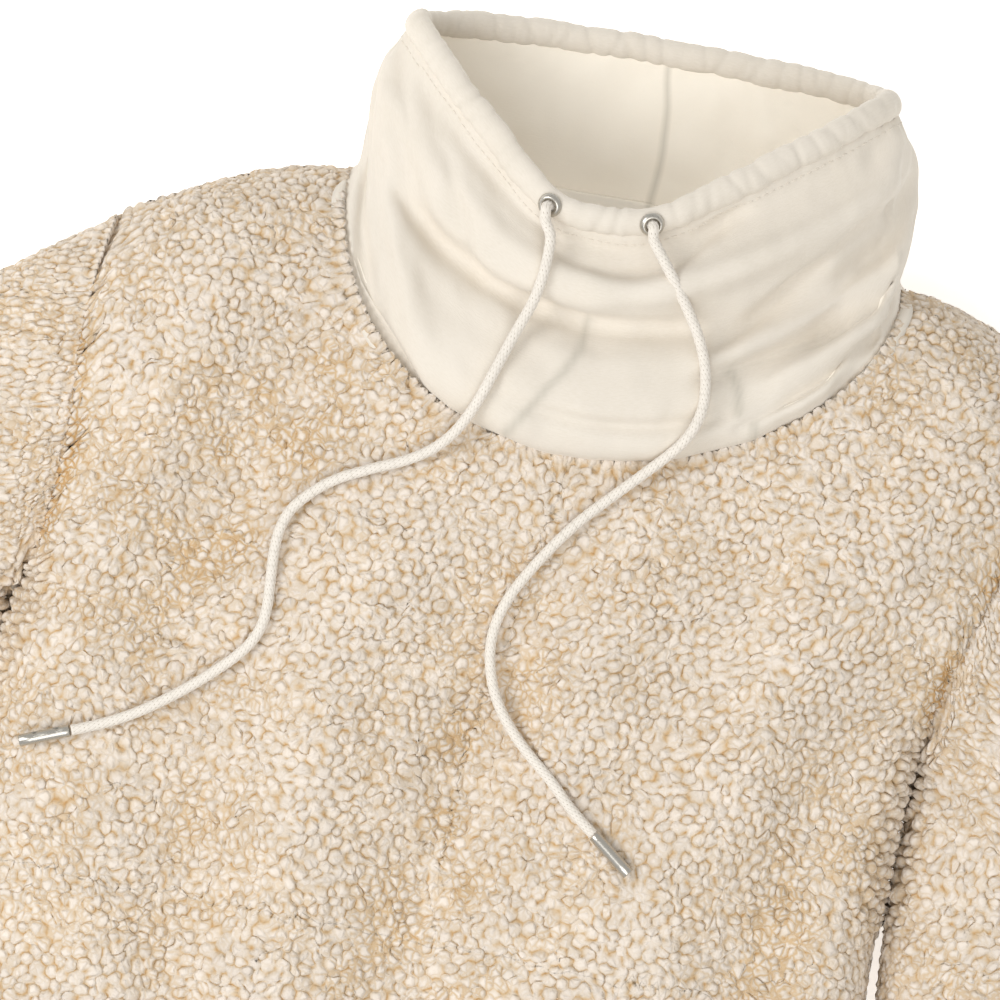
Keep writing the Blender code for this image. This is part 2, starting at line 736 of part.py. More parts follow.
def eyelet_seat(tree, x):
    """An eyelet's place on the casing's skin and the direction that it faces."""
    low, high = EYELET_TURNS
    for _ in range(SEARCH_PASSES):
        middle = (low + high) / 2.0
        if casing_frame(middle)[0][0] < x:
            low = middle
        else:
            high = middle
    centre, _, outward = casing_frame(low)
    axis = Vector(outward)
    start = Vector(placed(centre)) + axis * (SEAT_REACH * MM)
    point = tree.ray_cast(start, -axis)[0]
    return point / MM - Vector((SHIFT_X, SHIFT_Y, 0.0)) + axis * TOUCH_GAP, axis


def make_eyelet(name, seat, axis, material, collection):
    """A turned eyelet: a rounded ring with a clear hole."""
    profile = []
    for row in EYELET_PROFILE:
        place = dict(zip(EYELET_PROFILE_COLUMNS, row))
        out = EYELET_HOLE_R + (EYELET_OUTER_R - EYELET_HOLE_R) * place["out"]
        profile.append((out, EYELET_HIGH * place["up"]))
    mesh = bpy.data.meshes.new(name)
    verts = [(r * MM, 0.0, z * MM) for r, z in profile]
    edges = [(k, (k + 1) % len(profile)) for k in range(len(profile))]
    mesh.from_pydata(verts, edges, [])
    obj = new_object(name, mesh, material, collection)
    screw = obj.modifiers.new("Turn", "SCREW")
    screw.axis = "Z"
    screw.steps = EYELET_STEPS
    screw.render_steps = EYELET_STEPS
    screw.use_merge_vertices = True
    screw.merge_threshold = MERGE_DISTANCE * MM
    screw.use_smooth_shade = True
    obj.rotation_mode = "QUATERNION"
    obj.rotation_quaternion = axis.to_track_quat("Z", "Y")
    obj.location = Vector(placed(seat))
    return obj


def draped(tree, x, y, radius):
    """Height of a cord's middle where it rests on what lies under it."""
    highest = top_at(tree, x, y) + radius
    for share in DRAPE_SHARES:
        lift = radius * math.sqrt(max(0.0, 1.0 - share * share))
        for k in range(DRAPE_PLACES):
            a = 2.0 * math.pi * k / DRAPE_PLACES
            spot = top_at(tree, x + radius * share * math.cos(a), y + radius * share * math.sin(a))
            highest = max(highest, spot + lift)
    return highest + CORD_CLEAR


def rested(tree, points, first, radius):
    """Lift a cord's points until no stretch between them cuts what it lies on."""
    need = [draped(tree, p.x, p.y, radius) if k >= first else p.z for k, p in enumerate(points)]
    need[-1] += TIP_RADIUS - radius + TOUCH_GAP
    for k in range(first, len(points)):
        points[k].z = need[k]
    for _ in range(SETTLE_PASSES):
        for k in range(first, len(points)):
            ahead = points[min(k + 1, len(points) - 1)].z
            points[k].z = max(need[k], (points[k - 1].z + ahead) / 2.0 - CORD_SAG)
        for k in range(first - 1, len(points) - 1):
            middle = (points[k] + points[k + 1]) / 2.0
            short = draped(tree, middle.x, middle.y, radius) - middle.z
            if short > 0.0:
                points[k].z += short if k >= first else 0.0
                points[k + 1].z += short
    return points


def smooth_route(points, step):
    """Points at even steps on a smooth curve through the route."""
    knots = [points[0]] + list(points) + [points[-1]]
    dense = []
    for k in range(1, len(knots) - 2):
        for m in range(ROUTE_STEPS):
            t = m / ROUTE_STEPS
            p0, p1, p2, p3 = knots[k - 1], knots[k], knots[k + 1], knots[k + 2]
            dense.append(0.5 * ((2 * p1) + (p2 - p0) * t + (2 * p0 - 5 * p1 + 4 * p2 - p3) * t * t
                                + (3 * p1 - p0 - 3 * p2 + p3) * t ** 3))
    dense.append(points[-1])
    lengths = [0.0]
    for a, b in zip(dense, dense[1:]):
        lengths.append(lengths[-1] + (b - a).length)
    count = max(2, round(lengths[-1] / step))
    result = []
    for k in range(count + 1):
        want = lengths[-1] * k / count
        i = min(max(np.searchsorted(lengths, want) - 1, 0), len(dense) - 2)
        t = (want - lengths[i]) / max(lengths[i + 1] - lengths[i], 1.0e-9)
        result.append(dense[i].lerp(dense[i + 1], t))
    return result


def cord_route(tree, seat, axis, route):
    """The cord's path: out of its eyelet, over the collar and down the chest."""
    radius = CORD_DIAMETER / 2.0
    start = seat + axis * CORD_START
    clear = seat + axis * (EYELET_HIGH + CORD_RISE)
    knots = [clear, clear + axis * CORD_BEND + Vector((0.0, -CORD_BEND, 0.0))]
    for x, y in route:
        knots.append(Vector((x, y, draped(tree, x, y, radius))))
    points = [start] + smooth_route(knots, CORD_POINT_STEP)
    return rested(tree, points, CORD_FREE_POINTS, radius)


def tube(name, points, radius, material, collection):
    """A round tube along points, a curve with a bevel."""
    curve = bpy.data.curves.new(name, "CURVE")
    curve.dimensions = "3D"
    curve.bevel_depth = radius * MM
    curve.bevel_resolution = CORD_BEVEL
    curve.use_fill_caps = True
    spline = curve.splines.new("POLY")
    spline.points.add(len(points) - 1)
    for spot, point in zip(spline.points, points):
        spot.co = (*placed(point), 1.0)
    obj = bpy.data.objects.new(name, curve)
    collection.objects.link(obj)
    curve.materials.append(material)
    return obj


def make_tip(name, tree, points, material, collection):
    """A metal cord end: a straight round sleeve past the cord's end."""
    run = points[-1] - points[-2]
    run.z = 0.0
    run.normalize()
    start = points[-1].copy()
    slope = TIP_STEEPEST
    for k in range(1, TIP_PLACES + 1):
        reach = TIP_LENGTH * k / TIP_PLACES
        spot = start + run * reach
        slope = max(slope, (draped(tree, spot.x, spot.y, TIP_RADIUS) - start.z) / reach)
    direction = Vector((run.x, run.y, slope)).normalized()
    turn = direction.angle(points[-1] - points[-2])
    begin = start + direction * (TOUCH_GAP + TIP_RADIUS * math.tan(turn))
    return tube(name, [begin, begin + direction * TIP_LENGTH], TIP_RADIUS, material, collection)


def build():
    """Make every piece of the pullover."""
    for old in list(bpy.data.objects):
        bpy.data.objects.remove(old)
    collection = bpy.data.collections.new("sherpa_fleece_pullover")
    bpy.context.scene.collection.children.link(collection)

    front = panel_wall("front", panel_points(neck_front_y, front_z, FRONT_ROWS), 1.0,
                       make_material("front_fleece", FLEECE_COLOUR, FLEECE_ROUGH), collection)
    panel_wall("back", panel_points(neck_back_y, back_z, BACK_ROWS), -1.0,
               make_material("back_fleece", FLEECE_COLOUR, FLEECE_ROUGH), collection)
    for side in ("left", "right"):
        grid = sleeve_points(side)
        normals = tube_normals(grid)
        normals[:, 0] = held(normals[:, 0], 0)
        wall("sleeve_" + side, grid, normals, FLEECE_WALL,
             make_material("sleeve_" + side + "_fleece", FLEECE_COLOUR, FLEECE_ROUGH), collection, True)
    grid = collar_points()
    collar = wall("collar", grid, tube_normals(grid), COLLAR_WALL,
                  make_material("collar_knit", IVORY_COLOUR, KNIT_ROUGH), collection, closed=True)
    casing = make_casing(make_material("casing_knit", IVORY_COLOUR, KNIT_ROUGH), collection)

    seats = surface_tree([casing])
    places = []
    eyelets = []
    for side, place in (("left", EYELET_LEFT_X), ("right", EYELET_RIGHT_X)):
        seat, axis = eyelet_seat(seats, place)
        metal = make_material("eyelet_" + side + "_nickel", NICKEL_COLOUR, NICKEL_ROUGH, 1.0)
        places.append((seat, axis))
        eyelets.append(make_eyelet("eyelet_" + side, seat, axis, metal, collection))

    rest = surface_tree([front, collar, casing] + eyelets)
    for side, (seat, axis), route in zip(("left", "right"), places, (CORD_ROUTE_LEFT, CORD_ROUTE_RIGHT)):
        points = cord_route(rest, seat, axis, route)
        braid = make_material("cord_" + side + "_braid", IVORY_COLOUR, BRAID_ROUGH)
        metal = make_material("cord_tip_" + side + "_nickel", NICKEL_COLOUR, NICKEL_ROUGH, 1.0)
        tube("cord_" + side, points, CORD_DIAMETER / 2.0, braid, collection)
        make_tip("cord_tip_" + side, rest, points, metal, collection)


build()
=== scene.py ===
"""Sherpa fleece pullover with a smooth knit funnel collar and a braided drawcord.

X runs across the body, Y from the hem to the head and Z up from the surface
that the back rests on. Sizes are millimetres in the garment's own drawing,
whose Y is 0 at the neck-shoulder points; meshes are metres.
"""
import logging
import math
from dataclasses import dataclass, field
from enum import Enum
from typing import Callable, Iterable, Sequence

import bmesh
import bpy
import numpy as np
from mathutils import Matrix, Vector
from mathutils.bvhtree import BVHTree
from mathutils.geometry import delaunay_2d_cdt


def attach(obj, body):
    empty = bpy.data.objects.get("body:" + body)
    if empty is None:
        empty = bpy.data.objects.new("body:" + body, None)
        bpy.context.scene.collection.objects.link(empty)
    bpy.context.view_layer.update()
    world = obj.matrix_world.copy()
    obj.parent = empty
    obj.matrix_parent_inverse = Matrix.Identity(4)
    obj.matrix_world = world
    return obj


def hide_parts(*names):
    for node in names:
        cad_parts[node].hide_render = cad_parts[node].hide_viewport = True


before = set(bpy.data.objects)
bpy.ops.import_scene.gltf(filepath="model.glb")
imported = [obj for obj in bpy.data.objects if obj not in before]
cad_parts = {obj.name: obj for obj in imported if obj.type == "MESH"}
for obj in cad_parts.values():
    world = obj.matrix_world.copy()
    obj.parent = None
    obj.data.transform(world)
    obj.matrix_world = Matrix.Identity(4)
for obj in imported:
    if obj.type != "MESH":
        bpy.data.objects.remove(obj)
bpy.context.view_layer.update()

logging.basicConfig(level=logging.INFO, format="%(name)s: %(message)s")
log = logging.getLogger("pullover")

Array = np.ndarray
Piece = bpy.types.Object
Material = bpy.types.Material
Tree = bpy.types.NodeTree
Socket = bpy.types.NodeSocket
Node = bpy.types.Node
Rows = Sequence[Sequence[float]]

MM = 0.001
SHIFT = np.array((36.2, 251.3, 0.0))


# Sizes of the garment


class Side(Enum):
    """A side of the garment as seen in the view."""

    LEFT = -1.0
    RIGHT = 1.0

    @property
    def word(self) -> str:
        """The side's name in piece names."""
        return self.name.lower()


@dataclass(frozen=True)
class BodySizes:
    """Sizes of the body panels in millimetres."""

    seam_z: float = 32.0
    chest_z: float = 74.0
    hem_z: float = 60.0
    side_round: float = 46.0
    shoulder_round: float = 58.0
    back_round: float = 34.0
    neck_half: float = 131.5
    neck_front_drop: float = 105.0
    neck_back_rise: float = 16.0
    neck_skew: float = 10.0
    left_x: float = -229.0
    right_x: float = 222.0
    tip_y: float = -34.0
    neck_y: float = 4.0
    lean: float = 3.0
    shoulder_power: float = 1.6
    underarm_y: float = -202.0
    hem_y: float = -598.0
    armhole_top_z: float = 66.0
    armhole_low_z: float = 1.5
    seam_gap: float = 0.6
    wall: float = 6.0
    fold_end: float = 0.35
    fold_power: float = 0.7
    front_grid: tuple[int, int] = (161, 221)
    back_grid: tuple[int, int] = (141, 161)
    front_cut_x: float = 10.0
    front_cut_y: float = 270.0
    front_overhang: float = 4.0


SIDE_COLUMNS = ("y", "left", "right")
SIDES = (
    (10.0, -229.0, 222.0),
    (-34.0, -229.0, 222.0),
    (-67.0, -231.5, 211.0),
    (-107.0, -229.0, 197.0),
    (-144.0, -228.0, 186.0),
    (-181.0, -233.0, 179.0),
    (-220.0, -242.0, 174.5),
    (-270.0, -247.0, 173.0),
    (-340.0, -248.0, 175.0),
    (-460.0, -249.0, 177.0),
    (-598.0, -247.0, 178.0),
)

FOLD_COLUMNS = ("x0", "y0", "x1", "y1", "x2", "y2", "half_width", "height")
FRONT_FOLDS = (
    (164.0, -58.0, 112.0, -160.0, 60.0, -330.0, 28.0, 12.0),
    (60.0, -330.0, 20.0, -430.0, 0.0, -560.0, 34.0, 7.0),
    (36.0, -140.0, 30.0, -190.0, 10.0, -262.0, 22.0, 9.0),
    (-6.0, -176.0, -28.0, -240.0, -36.0, -380.0, 24.0, -12.0),
    (-74.0, -146.0, -96.0, -220.0, -104.0, -390.0, 26.0, 10.0),
    (-104.0, -390.0, -112.0, -470.0, -96.0, -570.0, 32.0, 6.0),
    (-124.0, -56.0, -146.0, -136.0, -172.0, -222.0, 30.0, -12.0),
    (-142.0, -250.0, -142.0, -310.0, -130.0, -420.0, 24.0, -9.0),
    (-164.0, -28.0, -182.0, -80.0, -196.0, -130.0, 20.0, 6.0),
    (-168.0, -330.0, -172.0, -400.0, -186.0, -520.0, 24.0, 8.0),
    (150.0, -36.0, 144.0, -70.0, 120.0, -110.0, 20.0, -6.0),
    (146.0, -190.0, 130.0, -270.0, 108.0, -380.0, 22.0, -8.0),
    (140.0, -400.0, 132.0, -470.0, 128.0, -570.0, 28.0, 6.0),
    (60.0, -400.0, 66.0, -480.0, 58.0, -585.0, 26.0, -6.0),
)

# Rings fanned about the underarm: angle, drop, reach across and height
SLEEVE_FAN = (
    (0.0, 0.0, 168.0, 64.5),
    (8.0, 3.0, 155.0, 66.0),
    (19.0, 7.0, 144.0, 65.0),
    (36.0, 12.0, 145.0, 64.0),
    (60.0, 18.0, 152.0, 63.0),
    (84.0, 26.0, 158.0, 62.0),
)
# Rings down the arm: place, gap to the body, reach across and height
SLEEVE_ARM = (
    (-250.0, 4.5, 158.0, 61.0),
    (-300.0, 4.0, 154.0, 59.0),
    (-350.0, 7.0, 148.0, 57.0),
    (-410.0, 11.0, 140.0, 55.0),
    (-470.0, 15.0, 131.0, 52.0),
    (-530.0, 19.0, 121.0, 49.0),
    (-572.0, 22.0, 112.0, 47.0),
    (-592.0, 23.0, 108.0, 46.0),
)


@dataclass(frozen=True)
class SleeveSizes:
    """Sizes of a sleeve's rings in millimetres."""

    points: int = 28
    armhole_gap: float = 0.9
    pivot_gap: float = 3.4
    fan_share_angle: float = 36.0
    under_round: float = 0.5
    seam_share: float = 0.5
    around: int = 112
    along: int = 96


RING_COLUMNS = ("left", "right", "y_side", "z_side", "y_back", "z_back", "y_front", "z_front", "vee")
COLLAR_RINGS = (
    (-128.6, 128.8, 1.0, 34.0, 17.0, 2.0, -104.2, 66.0, 0.00),
    (-127.6, 129.4, 7.0, 37.0, 21.0, 1.6, -101.0, 79.0, 0.02),
    (-125.4, 129.0, 16.0, 40.0, 28.0, 1.2, -92.0, 87.0, 0.06),
    (-124.6, 128.6, 26.0, 42.0, 36.0, 1.0, -77.0, 90.0, 0.12),
    (-124.6, 127.8, 36.0, 44.0, 44.0, 1.0, -60.0, 87.0, 0.20),
    (-124.8, 127.0, 44.0, 45.0, 51.0, 1.2, -46.0, 80.0, 0.30),
    (-124.0, 125.4, 51.0, 46.0, 58.0, 1.6, -37.0, 86.0, 0.40),
    (-122.8, 123.0, 57.0, 47.0, 65.0, 2.2, -26.0, 93.0, 0.52),
    (-121.2, 119.4, 63.0, 48.0, 71.0, 3.0, -16.0, 89.0, 0.66),
    (-118.4, 114.6, 69.0, 49.0, 77.0, 4.0, -9.5, 84.0, 0.80),
    (-115.6, 110.8, 74.0, 49.5, 82.5, 5.4, -4.5, 86.5, 0.90),
)

COLLAR_FOLD_COLUMNS = ("turn0", "rise0", "turn1", "rise1", "half_width", "depth")
COLLAR_FOLDS = (
    (0.95, 0.62, 0.66, 0.30, 11.0, -6.0),
    (0.66, 0.30, 0.48, 0.24, 10.0, -3.0),
    (0.90, 0.36, 0.72, 0.12, 10.0, 4.0),
    (0.97, 0.16, 0.70, 0.05, 8.0, -3.5),
    (0.06, 0.30, 0.22, 0.10, 9.0, -4.0),
    (0.12, 0.80, 0.34, 0.34, 12.0, -3.5),
    (0.06, 0.76, 0.24, 0.42, 12.0, 2.5),
    (0.92, 0.88, 0.74, 0.60, 10.0, 3.0),
)

COLLAR_CREASES = (
    (-30.0, -13.0, 6.0, -24.0, 28.0, -4.0, 4.4, -6.4),
    (28.0, -4.0, 36.0, 8.0, 48.0, 22.0, 4.0, -3.6),
    (118.0, 38.0, 84.0, -4.0, 50.0, -42.0, 3.8, -6.6),
    (127.0, 6.0, 98.0, -34.0, 44.0, -58.0, 3.6, -6.4),
    (125.0, -14.0, 106.0, -44.0, 66.0, -76.0, 3.4, -5.8),
    (-116.0, -34.0, -100.0, -72.0, -70.0, -94.0, 3.8, -5.0),
    (-102.0, -2.0, -44.0, -60.0, 38.0, -36.0, 4.4, -5.4),
    (-40.0, -84.0, 14.0, -95.0, 56.0, -73.0, 3.8, -4.6),
    (-112.0, 44.0, -80.0, -38.0, -10.0, -33.0, 6.0, 3.6),
    (-10.0, -33.0, 56.0, -16.0, 114.0, 46.0, 6.0, 4.6),
    (42.0, -53.0, 92.0, -22.0, 124.0, 14.0, 5.0, 4.2),
    (46.0, -68.0, 96.0, -47.0, 125.0, -8.0, 4.6, 3.6),
    (-112.0, 20.0, -104.0, -20.0, -84.0, -60.0, 5.0, 2.8),
    (-86.0, 20.0, -76.0, -10.0, -60.0, -34.0, 4.0, -3.0),
)

BACK_CREASES = (
    (-96.0, 66.0, -70.0, 48.0, -52.0, 26.0, 8.0, -2.2),
    (-40.0, 72.0, -34.0, 48.0, -48.0, 26.0, 7.0, 1.8),
    (24.0, 62.0, 46.0, 44.0, 88.0, 36.0, 8.0, -2.4),
    (56.0, 66.0, 72.0, 50.0, 104.0, 46.0, 6.0, 1.8),
    (-6.0, 40.0, 14.0, 30.0, 44.0, 28.0, 6.0, -1.6),
)

# Along a stitch from its middle, and how thick the thread is there
STITCH_STATIONS = ((-0.5, 0.1), (-0.36, 0.85), (0.0, 1.0), (0.36, 0.85), (0.5, 0.1))

SHOWN_SEAMS = (
    ((-10.0, -44.0), (-11.0, -56.0), (-16.0, -67.0), (-22.0, -75.0), (-28.0, -86.0), (-36.0, -98.0)),
    ((58.0, -52.0), (62.0, -62.0), (64.0, -70.0)),
    ((72.0, -74.0), (74.0, -85.0)),
)


@dataclass(frozen=True)
class CollarSizes:
    """Sizes of the collar and of the drawcord casing in millimetres."""

    wall: float = 2.6
    points: int = 56
    around: int = 336
    up: int = 84
    follow: tuple[float, ...] = (1.0, 0.86, 0.58, 0.26)
    rise: tuple[float, ...] = (0.0, 9.0, 17.0, 24.0)
    forward: tuple[float, ...] = (0.0, 2.0, 7.0, 14.0)
    inset: tuple[float, ...] = (0.0, 2.0, 4.0, 5.0)
    seam_half: float = 128.8
    rim_lean: float = 3.0
    turn_span: float = 330.0
    rise_span: float = 130.0
    corner_power: float = 0.62
    ring_square: float = 0.92
    side_lift: float = 2.5
    corners: tuple[float, float] = (0.29, 0.12)
    corner_soft: float = 14.0
    sunk: float = 4.0
    lift: float = 1.6
    front_gap: float = 1.7
    back_gap: float = 1.8
    tuck: float = 3.4
    facing: float = 17.0
    flare: float = 6.0
    edge_up: float = 2.2
    facing_z: float = 8.6
    shown_width: float = 2.2
    stitch: float = 2.6
    stitch_pitch: float = 3.8
    stitch_below: float = 2.2
    thread: float = 0.36
    thread_lift: float = 0.054
    thread_sides: int = 6
    casing_rise: float = 7.4
    casing_half_high: float = 6.2
    casing_half_deep: float = 4.4
    casing_steps: int = 720
    casing_sides: int = 18
    casing_open: float = 0.03
    casing_cloth: float = 34.0
    crease_steps: tuple[int, int] = (64, 40)
    gather_pitch: float = 9.0
    gather_width: float = 2.0
    gather_slant: float = 0.2
    gather_reach: float = 8.0
    gather_depth: float = 0.7
    wander: float = 0.45
    wander_size: float = 30.0
    ripple: float = 0.16
    ripple_size: float = 13.0
    shown_rise: float = 0.2
    shown_shade: float = 0.6
    inner_painted_light: float = 0.85
    back_seam: float = 0.757
    back_seam_width: float = 1.4
    back_seam_shade: float = 0.55
    puff: float = 0.5
    puff_spread: float = 0.4
    puff_size: float = 26.0
    casing_gather: float = 0.75
    casing_gather_width: float = 1.9
    casing_slant: float = 3.2
    pucker: float = 0.2
    pucker_pitch: float = 4.2
    pucker_width: float = 0.9
    pucker_slant: float = 1.6
    eyelet_flat: tuple[float, float] = (7.0, 13.0)


@dataclass(frozen=True)
class FittingSizes:
    """Sizes of the eyelets, the cords and their metal ends in millimetres."""

    eyelet_places: tuple[float, float] = (-35.0, 9.0)
    eyelet_outer: float = 5.6
    eyelet_hole: float = 2.9
    eyelet_high: float = 1.9
    touch_gap: float = 0.3
    cord: float = 4.8
    cord_step: float = 9.0
    free_points: int = 2
    cord_rise: float = 2.6
    cord_sag: float = 0.15
    cord_clear: float = 0.8
    settle_passes: int = 8
    tip_length: float = 23.0
    tip_radius: float = 2.75
    tip_rings: tuple[float, ...] = (0.16, 0.24, 0.32, 0.5, 0.6, 0.68, 0.76)
    crimps: tuple[float, float] = (0.24, 0.68)
    crimp_turn: float = 2.2
    crimp_depth: float = 0.8
    seam_turn: float = 1.9
    tip_seam: float = 0.3
    crimp_half_turn: float = 0.42
    seam_half_turn: float = 0.05
    tip_wall: float = 0.55
    tip_bevel: float = 0.2
    tip_edge: float = 0.25
    tip_lip: float = 0.15
    tip_start: float = 1.2
    tip_hollow: float = 6.0
    braid_step: float = 0.6
    braid_sides: int = 32
    braid_pitch: float = 3.3
    braid_strands: float = 4.0
    braid_valley: float = 0.86
    braid_rise: float = 0.19


# An eyelet's section: out from its hole or in from its outer edge, and the share of its height
EYELET_INNER = ((0.0, 0.0), (0.0, 0.5), (0.25, 0.85), (0.75, 1.0), (1.4, 0.98))
EYELET_OUTER = ((0.7, 0.66), (0.15, 0.3), (0.0, 0.0))

CORD_ROUTES = {
    Side.LEFT: (
        (-33.5, -8.5), (-33.0, -24.0), (-35.6, -39.9), (-40.2, -53.1), (-45.8, -70.8),
        (-51.8, -88.7), (-58.6, -102.0), (-65.8, -110.4), (-76.5, -118.0), (-92.1, -125.3),
        (-107.3, -133.3), (-118.3, -142.7), (-125.4, -152.7), (-127.8, -164.2), (-127.5, -176.7),
        (-126.6, -188.4), (-126.3, -199.6), (-129.0, -209.2), (-135.3, -218.7), (-149.4, -232.8),
        (-164.7, -245.4), (-177.5, -254.2), (-189.9, -260.7), (-201.7, -265.7),
    ),
    Side.RIGHT: (
        (13.0, -4.0), (21.3, -14.4), (30.5, -26.6), (38.7, -38.6), (44.1, -50.1), (46.9, -61.4),
        (47.3, -72.9), (44.3, -83.0), (39.0, -91.5), (28.3, -103.7), (15.9, -117.0), (3.9, -130.3),
        (-6.1, -144.0), (-14.4, -157.5), (-21.0, -170.6), (-24.3, -183.1), (-24.6, -194.0),
        (-21.8, -206.2), (-16.5, -217.5), (-7.9, -228.5), (2.1, -237.9), (13.4, -247.0),
        (24.6, -257.6), (36.3, -266.7),
    ),
}


@dataclass(frozen=True)
class PileSizes:
    """Sizes of the sherpa's curled nubs in millimetres."""

    pitch: float = 6.2
    jitter: float = 0.30
    jitter_share: float = 0.7
    missing: float = 0.05
    edge_pitch: float = 5.6
    edge_clear: float = 0.5
    grid_margin: float = 0.01
    place_miss: float = 0.5
    middle_miss: float = 2.5
    thinnest: float = 1.0e-4
    height: float = 2.05
    height_spread: float = 0.2
    heights: tuple[float, float] = (0.45, 1.5)
    edge_heights: tuple[float, float] = (0.85, 1.15)
    swell: float = 0.10
    swell_size: float = 34.0
    joined: float = 0.42
    joined_low: tuple[float, float] = (0.62, 0.9)
    parted_low: tuple[float, float] = (0.2, 0.55)
    pit_low: tuple[float, float] = (0.05, 0.4)
    lean: float = 0.35
    rough: float = 0.1
    rim_sway: float = 0.85
    rim_rise: float = 0.7
    # Places on the fleece's colour ramp, whose lower end is painted shade: at the panel's rim and in the
    # pits, and how it rises towards the tips
    rim_shade: float = 0.6
    pit_shade: float = 0.6
    inner_shade: float = 0.45
    shade_gain: float = 1.25
    shade_power: float = 1.4
    even_ring: float = 0.6
    crevice: tuple[float, float] = (-276.0, -196.0)
    crevice_soft: float = 20.0
    crevice_near: tuple[float, float] = (8.0, 16.0)
    crevice_reach: float = 3.2
    crevice_upper: float = 0.5
    armhole_low: tuple[float, float] = (-200.0, -180.0)
    armhole_high: tuple[float, float] = (-70.0, -40.0)
    armhole_near: tuple[float, float] = (2.0, 11.0)
    armhole_dip: float = 0.5
    # Painted shade along the armhole seams and in the folds' troughs, painted light on their ridges
    armhole_painted_shade: float = 0.35
    fold_painted_light: float = 0.16
    fold_full: float = 9.0
    inner_ring: float = 0.5
    outer_ring: float = 0.84
    single_ring: float = 0.68


BODY = BodySizes()
SLEEVE = SleeveSizes()
COLLAR = CollarSizes()
FITTING = FittingSizes()
PILE = PileSizes()

CURVE_STEPS = 12
VIEW_CENTRE = (-33.0, -128.0)
VIEW_TURN = math.radians(11.0)
VIEW_HALF = 232.0


# Small tools


def table(columns: Sequence[str], rows: Rows) -> dict[str, Array]:
    """One array for each named column of a table."""
    return {name: np.array([row[i] for row in rows]) for i, name in enumerate(columns)}


def smooth_at(xs: Array, ys: Array, x: Array) -> Array:
    """Values at the places x, on a smooth curve through the known ys at xs."""
    order = np.argsort(xs)
    xs = xs[order]
    ys = ys[order]
    slopes = np.gradient(ys, xs)
    x = np.clip(x, xs[0], xs[-1])
    i = np.clip(np.searchsorted(xs, x) - 1, 0, len(xs) - 2)
    h = xs[i + 1] - xs[i]
    t = (x - xs[i]) / h
    return ((1 + 2 * t) * (1 - t) ** 2 * ys[i] + t * (1 - t) ** 2 * h * slopes[i]
            + t * t * (3 - 2 * t) * ys[i + 1] + t * t * (t - 1) * h * slopes[i + 1])


def placed(points: Array) -> Array:
    """Drawing millimetres to the garment's place in metres."""
    return (np.asarray(points, dtype=float) + SHIFT) * MM


def unit(vectors: Array) -> Array:
    """Vectors of length one."""
    return vectors / np.maximum(np.linalg.norm(vectors, axis=-1, keepdims=True), 1.0e-9)


def distances(points: Array) -> Array:
    """How far each point of a line is from its start, along the line."""
    return np.concatenate([[0.0], np.cumsum(np.linalg.norm(np.diff(points, axis=0), axis=1))])


def curve(before: Array | Vector, first: Array | Vector, second: Array | Vector,
          after: Array | Vector, t: Array | float) -> Array | Vector:
    """The smooth curve between two points, t from 0 to 1, bent by the ones before and after."""
    return 0.5 * (2 * first + (second - before) * t + (2 * before - 5 * first + 4 * second - after) * t ** 2
                  + (3 * first - before - 3 * second + after) * t ** 3)


def double_area(flat: Array, triangles: Array) -> Array:
    """Twice each triangle's area, below 0 where it runs clockwise."""
    a, b, c = (flat[triangles[:, k]] for k in range(3))
    return (b[:, 0] - a[:, 0]) * (c[:, 1] - a[:, 1]) - (b[:, 1] - a[:, 1]) * (c[:, 0] - a[:, 0])


def soft_step(low: float, high: float, x: Array) -> Array:
    """0 below low, 1 above high and smooth between."""
    t = np.clip((x - low) / (high - low), 0.0, 1.0)
    return t * t * (3.0 - 2.0 * t)


def waves(x: Array, y: Array, size: float, seed: int, count: int = 7) -> Array:
    """Soft unevenness, about -1 to 1, from sine waves about size long that the seed chooses."""
    rng = np.random.default_rng(seed)
    total = np.zeros(np.broadcast(x, y).shape)
    for _ in range(count):
        angle = rng.uniform(0.0, math.tau)
        pitch = math.tau / (size * rng.uniform(0.7, 1.5))
        phase = rng.uniform(0.0, math.tau)
        total += np.sin((x * math.cos(angle) + y * math.sin(angle)) * pitch + phase)
    return total / math.sqrt(count)


def in_view(points: Array) -> Array:
    """True for places of the drawing that the photographed stretch shows."""
    dx = points[..., 0] - VIEW_CENTRE[0]
    dy = points[..., 1] - VIEW_CENTRE[1]
    across = dx * math.cos(VIEW_TURN) + dy * math.sin(VIEW_TURN)
    along = dy * math.cos(VIEW_TURN) - dx * math.sin(VIEW_TURN)
    return (np.abs(across) < VIEW_HALF) & (np.abs(along) < VIEW_HALF)


def mesh_object(name: str, verts: Array, faces: Iterable[Sequence[int]], material: Material,
                attributes: dict[str, Array] | None = None) -> Piece:
    """Make a named, smooth mesh object.

    Args:
        name: Name of the piece.
        verts: Points in metres.
        faces: Faces as lists of point numbers.
        material: Its material.
        attributes: Point attributes by name.

    Returns:
        The new object.
    """
    mesh = bpy.data.meshes.new(name)
    mesh.from_pydata(verts.tolist(), [], [tuple(f) for f in faces])
    mesh.shade_smooth()
    for key, values in (attributes or {}).items():
        attribute = mesh.attributes.new(key, "FLOAT", "POINT")
        attribute.data.foreach_set("value", values.astype(np.float32))
    obj = bpy.data.objects.new(name, mesh)
    bpy.context.scene.collection.objects.link(obj)
    mesh.materials.append(material)
    return obj


def quads(columns: int, rows: int) -> Array:
    """Faces of a grid of points, columns first, whose last column meets its first."""
    i, k = np.meshgrid(np.arange(columns), np.arange(rows - 1), indexing="ij")
    j = (i + 1) % columns
    return np.stack([i * rows + k, j * rows + k, j * rows + k + 1, i * rows + k + 1], axis=2).reshape(-1, 4)


